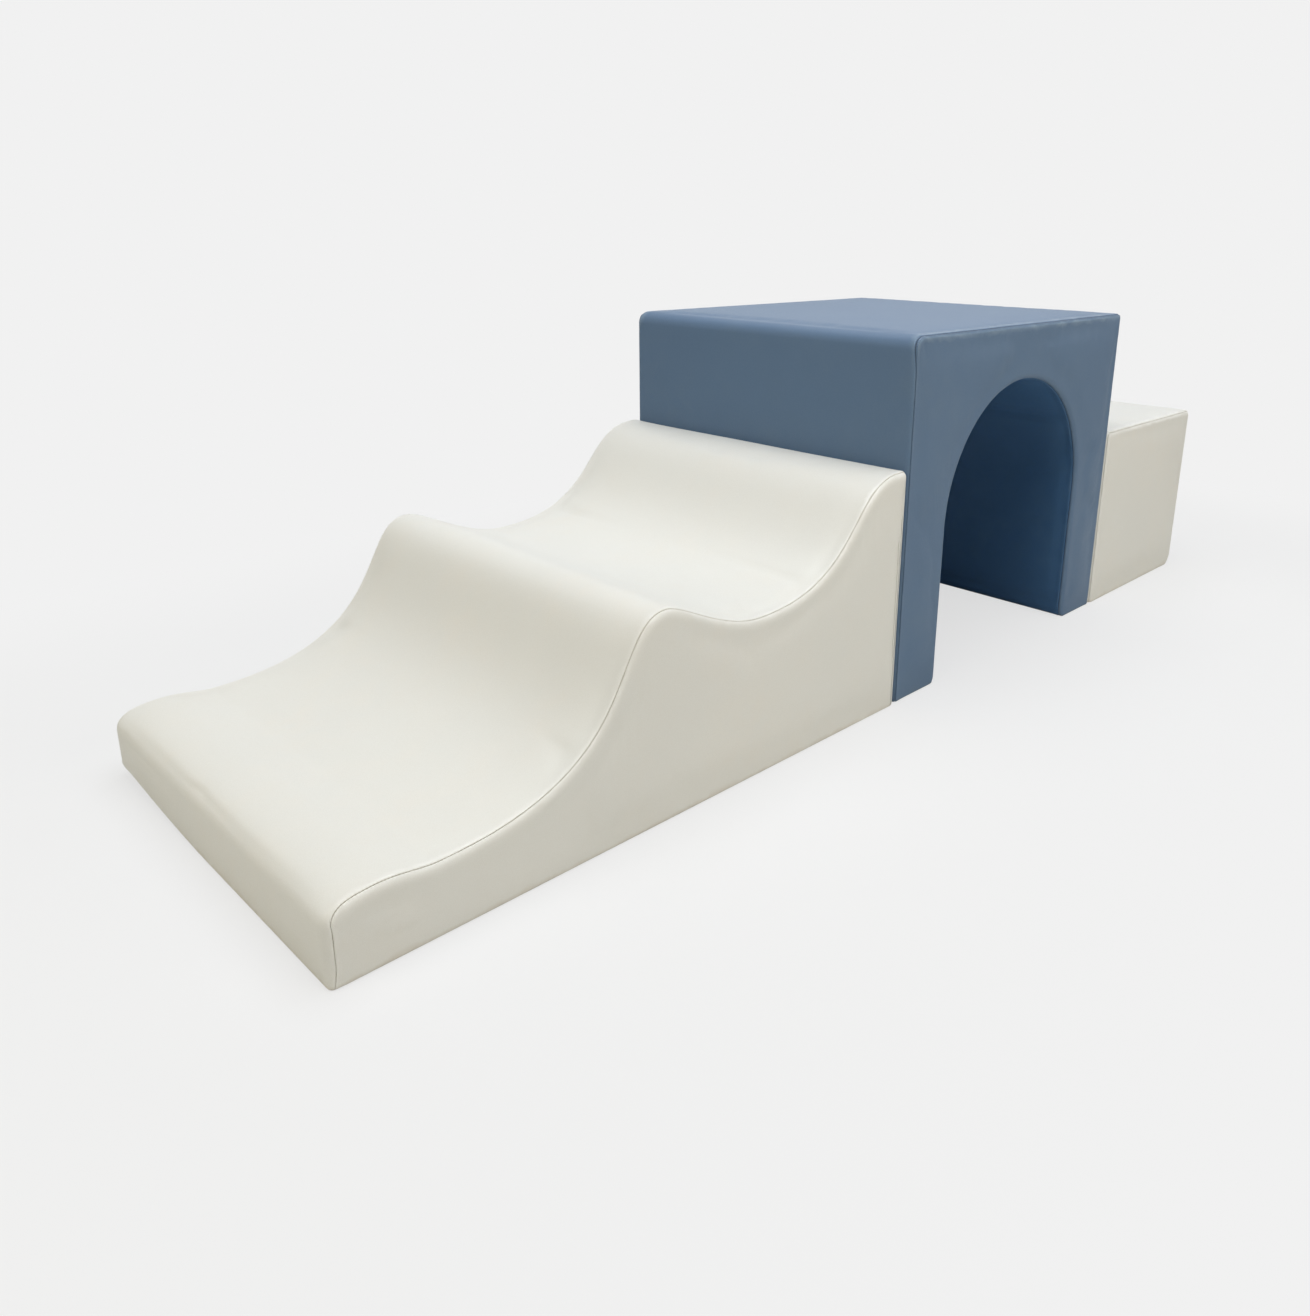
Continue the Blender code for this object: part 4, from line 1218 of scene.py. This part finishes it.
ramp = blockOf(
    "ramp", "ramp_top_cover", "ramp_side_panel_", 1.3, waveSizes, rampShape, rampProfile,
    ivory, ivoryFit, "ivory_leather",
)
tunnel = blockOf(
    "tunnel", "tunnel_outer_cover", "tunnel_face_panel_", 5.7, tunnelSizes, tunnelShape, boxProfile,
    blue, blueFit, "blue_leather",
)
step = blockOf(
    "step", "step_top_cover", "step_side_panel_", 9.2, stepSizes, stepShape, boxProfile,
    ivory, ivoryFit, "ivory_leather",
)
tuneRamp(rampShape)
tuneTunnel(tunnelShape)
step["profile"]["seamSpan"] = np.full(len(step["profile"]["run"]), stepShape["span"])
for block in (ramp, tunnel, step):
    block["swell"] = swellBlock(block)


def sewCover(block, sheet, name, node, look):
    mesh = toMesh(sheet)
    layLeather(block, mesh)
    finishPiece(
        mesh, block["body"] + "_skin_" + name, look, block["body"], node,
        thickness=cover["thickness"],
    )


def sewCovers(block):
    wrap = wrapSheet(block, block["profile"], block["edge"], block["middle"], 1)
    sewCover(block, wrap, "wrap", block["topNode"], block["look"])
    for side, hand in (("near", -1), ("far", 1)):
        panel = tunnelFaceSheet(block, hand) if "arch" in block else sidePanelSheet(block, hand)
        sewCover(block, panel, side, block["sideStem"] + side, block["look"])
    if "arch" in block:
        middle = Vector((block["middle"].x, 0, tunnelSizes["archSpring"]))
        lining = wrapSheet(block, block["arch"], block["archEdge"], middle, -1)
        # The lining takes the darker copy of the blue leather: painted shade
        sewCover(block, lining, "lining", "tunnel_arch_lining", shadedBlueLining)
    print(block["body"], "covers sewn")


def repeatShape(mesh, count, offset, merge=0.0):
    # One shape again and again, each copy moved on by the offset
    holder = placeThing("repeat", mesh)
    row = holder.modifiers.new("row", "ARRAY")
    row.count = count
    row.use_relative_offset = False
    row.use_constant_offset = True
    row.constant_offset_displace = offset
    row.use_merge_vertices = merge > 0
    row.merge_threshold = merge
    result = bakeShape(holder)
    bpy.data.objects.remove(holder, do_unlink=True)
    bpy.data.meshes.remove(mesh)
    return result


def takeIn(bm, mesh):
    bm.from_mesh(mesh)
    bpy.data.meshes.remove(mesh)


stitchFit = {"pitch": 0.0034, "length": 0.0026, "width": 0.0006}
seamFit = {
    "pitch": 0.0036, "length": 0.0028, "width": 0.00075, "height": 0.00070, "rows": (8, -7), "lowest": 0.006,
}


def addStitches(bm, start, end, normal, fit):
    # A row of short raised threads from start to end
    way = end - start
    count = max(1, int(way.length / fit["pitch"]))
    single = bmesh.new()
    bmesh.ops.create_icosphere(single, subdivisions=1, radius=0.5)
    bmesh.ops.scale(single, vec=(fit["length"], fit["width"], fit["height"]), verts=single.verts[:])
    row = repeatShape(toMesh(single), count, (way.length / count, 0, 0))
    turn = Matrix((way.normalized(), normal.cross(way).normalized(), normal)).transposed().to_4x4()
    row.transform(Matrix.Translation(start + way / count / 2) @ turn)
    takeIn(bm, row)


def threadRow(bm, mesh, row):
    # Stitches along one row of a sewn cover's points
    rows, columns = (readNumbers(mesh.attributes[label].data, "value", 1) for label in ("row", "column"))
    path, normals = readNumbers(mesh.vertices, "co"), readNumbers(mesh.vertex_normals, "vector")
    chosen = np.where((rows == row % (rows.max() + 1)) & (path[:, 2] > seamFit["lowest"]))[0]
    chosen = chosen[np.argsort(columns[chosen])]
    path, normals = path[chosen], normals[chosen]
    runs = np.concatenate(([0.0], np.cumsum(np.linalg.norm(np.diff(path, axis=0), axis=1))))
    straight = bmesh.new()
    addStitches(straight, Vector((0, 0, 0)), Vector((runs[-1], 0, 0)), Vector((0, 0, 1)), seamFit)
    ways = np.gradient(path, axis=0)
    ways /= np.linalg.norm(ways, axis=1)[:, None]
    line = toMesh(straight)
    places = readNumbers(line.vertices, "co")
    base, side, up = (
        np.stack([np.interp(places[:, 0], runs, table[:, axis]) for axis in range(3)], axis=1)
        for table in (path, np.cross(normals, ways), normals)
    )
    line.vertices.foreach_set("co", (base + side * places[:, 1:2] + up * places[:, 2:3]).ravel())
    takeIn(bm, line)


def threadTunnel():
    for side in ("near", "far"):
        bm = bmesh.new()
        for row in seamFit["rows"]:
            threadRow(bm, bpy.data.objects["tunnel_skin_" + side].data, row)
        bmesh.ops.recalc_face_normals(bm, faces=bm.faces[:])
        node = "tunnel_face_panel_" + side
        finishPiece(toMesh(bm), "tunnel_seam_thread_" + side, thread, "tunnel", node)


for block in (ramp, tunnel, step):
    sewCovers(block)
threadTunnel()

# Foam blocks under the leather, with channels for the zips

foamFit = {
    "setIn": 0.0031, "edge": (0.018, 0.013), "roundSteps": 7, "low": 0.0021, "sharp": 35,
    "channelSpare": 0.0006, "channelStart": -0.01, "fill": 1.0,
}
zipFit = {"slotSpare": 0.026, "slotHalf": 0.008, "hem": 0.004, "roof": 0.0013, "hemGap": 0.0003}


def addBox(bm, size, middle):
    made = bmesh.ops.create_cube(bm, size=1.0)["verts"]
    bmesh.ops.scale(bm, vec=size, verts=made)
    bmesh.ops.translate(bm, vec=middle, verts=made)
    return made


def roundEdges(bm, edges, radius, segments):
    bmesh.ops.bevel(
        bm, geom=edges, offset=radius, offset_type="OFFSET", segments=segments, profile=0.5,
        affect="EDGES", material=-1,
    )


def cutAway(mesh, low, high):
    # The same shape without the space between two corners
    bm = bmesh.new()
    addBox(bm, high - low, (high + low) / 2)
    cutter = placeThing("cutter", toMesh(bm))
    holder = placeThing("uncut", mesh)
    modifier = holder.modifiers.new("cut", "BOOLEAN")
    modifier.operation = "DIFFERENCE"
    modifier.object = cutter
    result = bakeShape(holder)
    for spent in (holder, cutter):
        bpy.data.objects.remove(spent, do_unlink=True)
    return result


def zipPlace(node):
    # Middle, half size, half length, half width, and whether the zip lies across the row
    low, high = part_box(node)
    half = (high - low) / 2
    across = half.y > half.x
    return (low + high) / 2, half, max(half.x, half.y), min(half.x, half.y), across


def slotOf(stem, spare=0.0, wide=zipFit["slotHalf"]):
    # Two corners of the flat slot round a zip
    middle, half, along, width, across = zipPlace(stem + "_chain")
    along += zipFit["slotSpare"] + spare
    reach = Vector((wide, along, 0)) if across else Vector((along, wide, 0))
    middle.z = 0
    return middle - reach, middle + reach


def cutFoam(block, stems):
    fit = foamFit
    mesh = toMesh(closeBlock(block, shapeEdge(*fit["edge"], 0), fit["setIn"], fit["low"], fit["roundSteps"]))
    for stem in stems:
        wide = zipPlace(stem + "_tape")[3] + fit["channelSpare"]
        low, high = slotOf(stem, zipFit["hem"] + fit["channelSpare"], wide)
        low.z, high.z = fit["channelStart"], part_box(stem + "_slider")[1].z + zipFit["roof"]
        mesh = cutAway(mesh, low, high)
    body, core = block["body"], block["body"] + "_foam_core"
    finishPiece(mesh, body + "_foam_block", foam, body, core, sharp=fit["sharp"])


# Non-slip cloth under each block, with a slot for the zip whose edge is turned up

# hem: how far the cloth's edge rises and opens at its first two turns; at the last it rises by the whole
# height less the third pair's first value, and opens by its second
gripFit = {
    "cloth": 0.0011, "dotHeight": 0.00035, "dotRadius": 0.0016, "dotTaper": 0.55, "dotFoot": 0.0002,
    "dotPitch": 0.013,
    "rowPitch": 0.013 * 0.866, "margin": 0.010, "slotSpare": 0.0051, "corner": 0.0055,
    "grid": (24, 16), "sharp": 40, "hem": ((0.0008, 0.0004), (0.0008, 0.0011), (0.0026, 0.0013)),
}


def isBetween(place, low, high, spare=0.0):
    return low.x - spare < place.x < high.x + spare and low.y - spare < place.y < high.y + spare


def openSlot(bm, low, high):
    # Cuts the sheet along the slot's four sides and takes out what lies between them
    for axis, values in ((0, (low.x, high.x)), (1, (low.y, high.y))):
        for value in values:
            place, normal = Vector(), Vector()
            place[axis], normal[axis] = value, 1
            geometry = bm.verts[:] + bm.edges[:] + bm.faces[:]
            bmesh.ops.bisect_plane(bm, geom=geometry, dist=nearly / 10, plane_co=place, plane_no=normal)
    inside = [face for face in bm.faces if isBetween(face.calc_center_median(), low, high)]
    bmesh.ops.delete(bm, geom=inside, context="FACES")


def addDots(bm, low, high, slotLow, slotHigh):
    # Small rubber dots in staggered rows, left out round the slot
    fit = gripFit
    dot = bmesh.new()
    radius, height, margin, rowPitch = fit["dotRadius"], fit["dotHeight"], fit["margin"], fit["rowPitch"]
    bmesh.ops.create_cone(
        dot, cap_ends=True, segments=6, radius1=radius * fit["dotTaper"], radius2=radius,
        depth=height + fit["dotFoot"],
    )
    start = Vector((low.x + margin, low.y + margin, (height + fit["dotFoot"]) / 2))
    bmesh.ops.translate(dot, vec=start, verts=dot.verts[:])
    across = int((high.x - low.x - 2.5 * margin) / fit["dotPitch"])
    deep = int((high.y - low.y - 2 * margin) / rowPitch / 2)
    line = repeatShape(toMesh(dot), across, (fit["dotPitch"], 0, 0))
    pair = bmesh.new()
    pair.from_mesh(line)
    bmesh.ops.translate(pair, vec=(fit["dotPitch"] / 2, rowPitch, 0), verts=pair.verts[:])
    takeIn(pair, line)
    field = bmesh.new()
    takeIn(field, repeatShape(toMesh(pair), deep, (0, 2 * rowPitch, 0)))
    doomed = set()
    for vert in field.verts:
        reach = [vert] if isBetween(vert.co, slotLow, slotHigh, fit["slotSpare"]) else []
        while reach:
            item = reach.pop()
            if item not in doomed:
                doomed.add(item)
                reach.extend(edge.other_vert(item) for edge in item.link_edges)
    bmesh.ops.delete(field, geom=list(doomed), context="VERTS")
    takeIn(bm, toMesh(field))


def turnUpHem(bm, slotLow, slotHigh, rise):
    # The cloth round the slot turns up into the foam's channel
    middle = (slotLow + slotHigh) / 2
    rim = [
        edge for edge in bm.edges
        if edge.is_boundary and all(isBetween(vert.co, slotLow, slotHigh, nearly) for vert in edge.verts)
    ]
    *turns, (less, opening) = gripFit["hem"]
    for lift, grow in (*turns, (rise - less, opening)):
        rim, verts = drawOut(bm, rim)
        for vert in verts:
            aside = vert.co - middle
            vert.co += Vector((math.copysign(grow, aside.x), math.copysign(grow, aside.y), lift))


def layBase(node, stem, body):
    fit = gripFit
    low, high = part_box(node)
    slotLow, slotHigh = slotOf(stem)
    middle = (slotLow + slotHigh) / 2
    bm = bmesh.new()
    bmesh.ops.create_grid(bm, x_segments=fit["grid"][0], y_segments=fit["grid"][1], size=0.5)
    bmesh.ops.scale(bm, vec=(high.x - low.x, high.y - low.y, 1), verts=bm.verts[:])
    bmesh.ops.translate(bm, vec=((low.x + high.x) / 2, 0, fit["dotHeight"]), verts=bm.verts[:])
    for vert in bm.verts:
        if len(vert.link_edges) == 2:
            # The corners are cut back, where the cover turns
            vert.co.x -= math.copysign(fit["corner"], vert.co.x - middle.x)
            vert.co.y -= math.copysign(fit["corner"], vert.co.y)
    openSlot(bm, slotLow, slotHigh)
    turnUpHem(bm, slotLow, slotHigh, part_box(stem + "_tape")[0].z - zipFit["hemGap"] - fit["dotHeight"])
    bm.normal_update()
    if sum(face.normal.z for face in bm.faces) > 0:
        bmesh.ops.reverse_faces(bm, faces=bm.faces[:])
    bmesh.ops.solidify(bm, geom=bm.faces[:], thickness=fit["cloth"])
    addDots(bm, low, high, slotLow, slotHigh)
    bmesh.ops.recalc_face_normals(bm, faces=bm.faces[:])
    if body == "ramp":
        places = np.array([vert.co for vert in bm.verts])
        roundFoot(ramp, places)
        for vert, place in zip(bm.verts, places):
            vert.co = place
    name = node.replace("base_panel", "grip_cloth")
    finishPiece(toMesh(bm), name, baseFabric, body, node, sharp=fit["sharp"])


# Zips: woven tapes and meshed coils; the sliders and pulls are the CAD's own

tapeFit = {
    "gap": 0.0003, "grid": (60, 2), "thick": 0.92, "sharp": 40,
    "inFrom": (0.0022, 0.0030), "stitched": 0.985, "stitches": dict(stitchFit, height=0.0002),
}
coilFit = {
    "wire": 0.00030, "loop": 0.00076, "stretch": 1.25, "pitch": 0.0016, "turnSteps": 8, "sides": 4,
    "clear": 0.00005, "stop": 0.004, "stopRound": 0.0006, "merge": 0.00004,
}
squareOn = Matrix.Rotation(math.pi / 2, 3, "Z")


def setDown(bm, middle, across):
    # Lays a piece modelled along X at the origin where its zip lies
    if across:
        bmesh.ops.rotate(bm, cent=(0, 0, 0), matrix=squareOn, verts=bm.verts[:])
    bmesh.ops.translate(bm, vec=middle, verts=bm.verts[:])


def layTape(stem, body):
    fit = tapeFit
    middle, half, along, wide, across = zipPlace(stem + "_tape")
    slit, inner = (value + fit["gap"] for value in zipPlace(stem + "_chain")[2:4])
    bm = bmesh.new()
    bmesh.ops.create_grid(bm, x_segments=fit["grid"][0], y_segments=fit["grid"][1], size=0.5)
    bmesh.ops.scale(bm, vec=(along * 2, wide * 2, 1), verts=bm.verts[:])
    openSlot(bm, Vector((-slit, -inner)), Vector((slit, inner)))
    bmesh.ops.solidify(bm, geom=bm.faces[:], thickness=half.z * 2 * fit["thick"])
    bmesh.ops.recalc_face_normals(bm, faces=bm.faces[:])
    heights = [vert.co.z for vert in bm.verts]
    top, bottom, reach = max(heights), min(heights), along * fit["stitched"]
    for hand in (-1, 1):
        for aside in (inner + fit["inFrom"][0], wide - fit["inFrom"][1]):
            for height, way in ((top, 1), (bottom, -1)):
                start, end = (Vector((x, hand * aside, height)) for x in (-reach, reach))
                addStitches(bm, start, end, Vector((0, 0, way)), fit["stitches"])
    setDown(bm, middle - Vector((0, 0, (top + bottom) / 2)), across)
    name = stem + "_woven_tape"
    finishPiece(toMesh(bm), name, zipFabric, body, stem + "_tape", sharp=fit["sharp"])


def windCoils(stem, body):
    # Two nylon coils side by side and the stops that hold both ends
    fit = coilFit
    middle, half, along, wide, across = zipPlace(stem + "_chain")
    stop, wire, loop = fit["stop"], fit["wire"], fit["loop"]
    length = 2 * (along - stop)
    turns = int(length / fit["pitch"])
    bm = bmesh.new()
    for hand in (-1, 1):
        turn = bmesh.new()
        ring = bmesh.ops.create_circle(turn, segments=fit["sides"], radius=wire)["verts"]
        bmesh.ops.rotate(turn, cent=(0, 0, 0), matrix=Matrix.Rotation(math.pi / 2, 3, "X"), verts=ring)
        bmesh.ops.translate(turn, vec=(-length / 2, 0, loop), verts=ring)
        bmesh.ops.spin(
            turn, geom=turn.verts[:] + turn.edges[:], cent=(0, 0, 0), axis=(hand, 0, 0),
            dvec=(length / turns / fit["turnSteps"], 0, 0), angle=2 * math.pi, steps=fit["turnSteps"],
            use_merge=False, use_duplicate=False,
        )
        bmesh.ops.scale(turn, vec=(1, fit["stretch"], 1), verts=turn.verts[:])
        aside = hand * (wide - loop - wire - fit["clear"])
        bmesh.ops.translate(turn, vec=(0, aside, 0), verts=turn.verts[:])
        takeIn(bm, repeatShape(toMesh(turn), turns, (length / turns, 0, 0), fit["merge"]))
    ends = [edge for edge in bm.edges if edge.is_boundary]
    bmesh.ops.holes_fill(bm, edges=ends, sides=fit["sides"])
    for hand in (-1, 1):
        made = addBox(bm, (stop, 2 * wide, 2 * half.z), (hand * (along - stop / 2), 0, 0))
        roundEdges(bm, list({edge for vert in made for edge in vert.link_edges}), fit["stopRound"], 3)
    setDown(bm, middle, across)
    bmesh.ops.recalc_face_normals(bm, faces=bm.faces[:])
    finishPiece(toMesh(bm), stem + "_coils", coilPlastic, body, stem + "_chain")


# Hook-and-loop strips between the blocks: rounded corners and a sewn border

stripFit = {
    "corner": 0.005, "rim": 0.00045, "border": 0.0035, "sharp": 40,
    "stitches": dict(stitchFit, height=0.00024),
}


def sewStrip(node, material, facing):
    fit = stripFit
    low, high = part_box(node)
    bm = bmesh.new()
    addBox(bm, high - low, (low + high) / 2)
    corners = [edge for edge in bm.edges if abs(edge.verts[0].co.x - edge.verts[1].co.x) > nearly]
    roundEdges(bm, corners, fit["corner"], 5)
    outer = high.x if facing > 0 else low.x
    rims = [edge for edge in bm.edges if all(abs(vert.co.x - outer) < nearly for vert in edge.verts)]
    roundEdges(bm, rims, fit["rim"], 2)
    border = Vector((0, fit["border"], fit["border"]))
    (y, z), (farY, farZ) = (low + border).yz, (high - border).yz
    turns = [Vector((outer, *place)) for place in ((y, z), (farY, z), (farY, farZ), (y, farZ))]
    for start, end in zip(turns, turns[1:] + turns[:1]):
        addStitches(bm, start, end, Vector((facing, 0, 0)), fit["stitches"])
    bmesh.ops.recalc_face_normals(bm, faces=bm.faces[:])
    body, name = node.split("_")[0], node.replace("strip", "band")
    finishPiece(toMesh(bm), name, material, body, node, sharp=fit["sharp"])


# Each zip's body, name and base
zips = (
    ("ramp", "ramp_zip", "ramp_base_panel"), ("tunnel", "tunnel_zip_front", "tunnel_base_panel_front"),
    ("tunnel", "tunnel_zip_rear", "tunnel_base_panel_rear"), ("step", "step_zip", "step_base_panel"),
)
for block in (ramp, tunnel, step):
    cutFoam(block, [stem for body, stem, base in zips if body == block["body"]])
print("foam cut")
for body, stem, base in zips:
    layBase(base, stem, body)
    layTape(stem, body)
    windCoils(stem, body)
    for metal in ("_slider", "_pull"):
        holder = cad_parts[stem + metal].material_slots[0]
        holder.link = "OBJECT"
        holder.material = zinc
print("bases and zips fitted")
sewStrip("ramp_loop_strip", loopFabric, 1)
sewStrip("step_loop_strip", loopFabric, -1)
sewStrip("tunnel_hook_strip_front", hookFabric, -1)
sewStrip("tunnel_hook_strip_rear", hookFabric, 1)
print("strips sewn on")
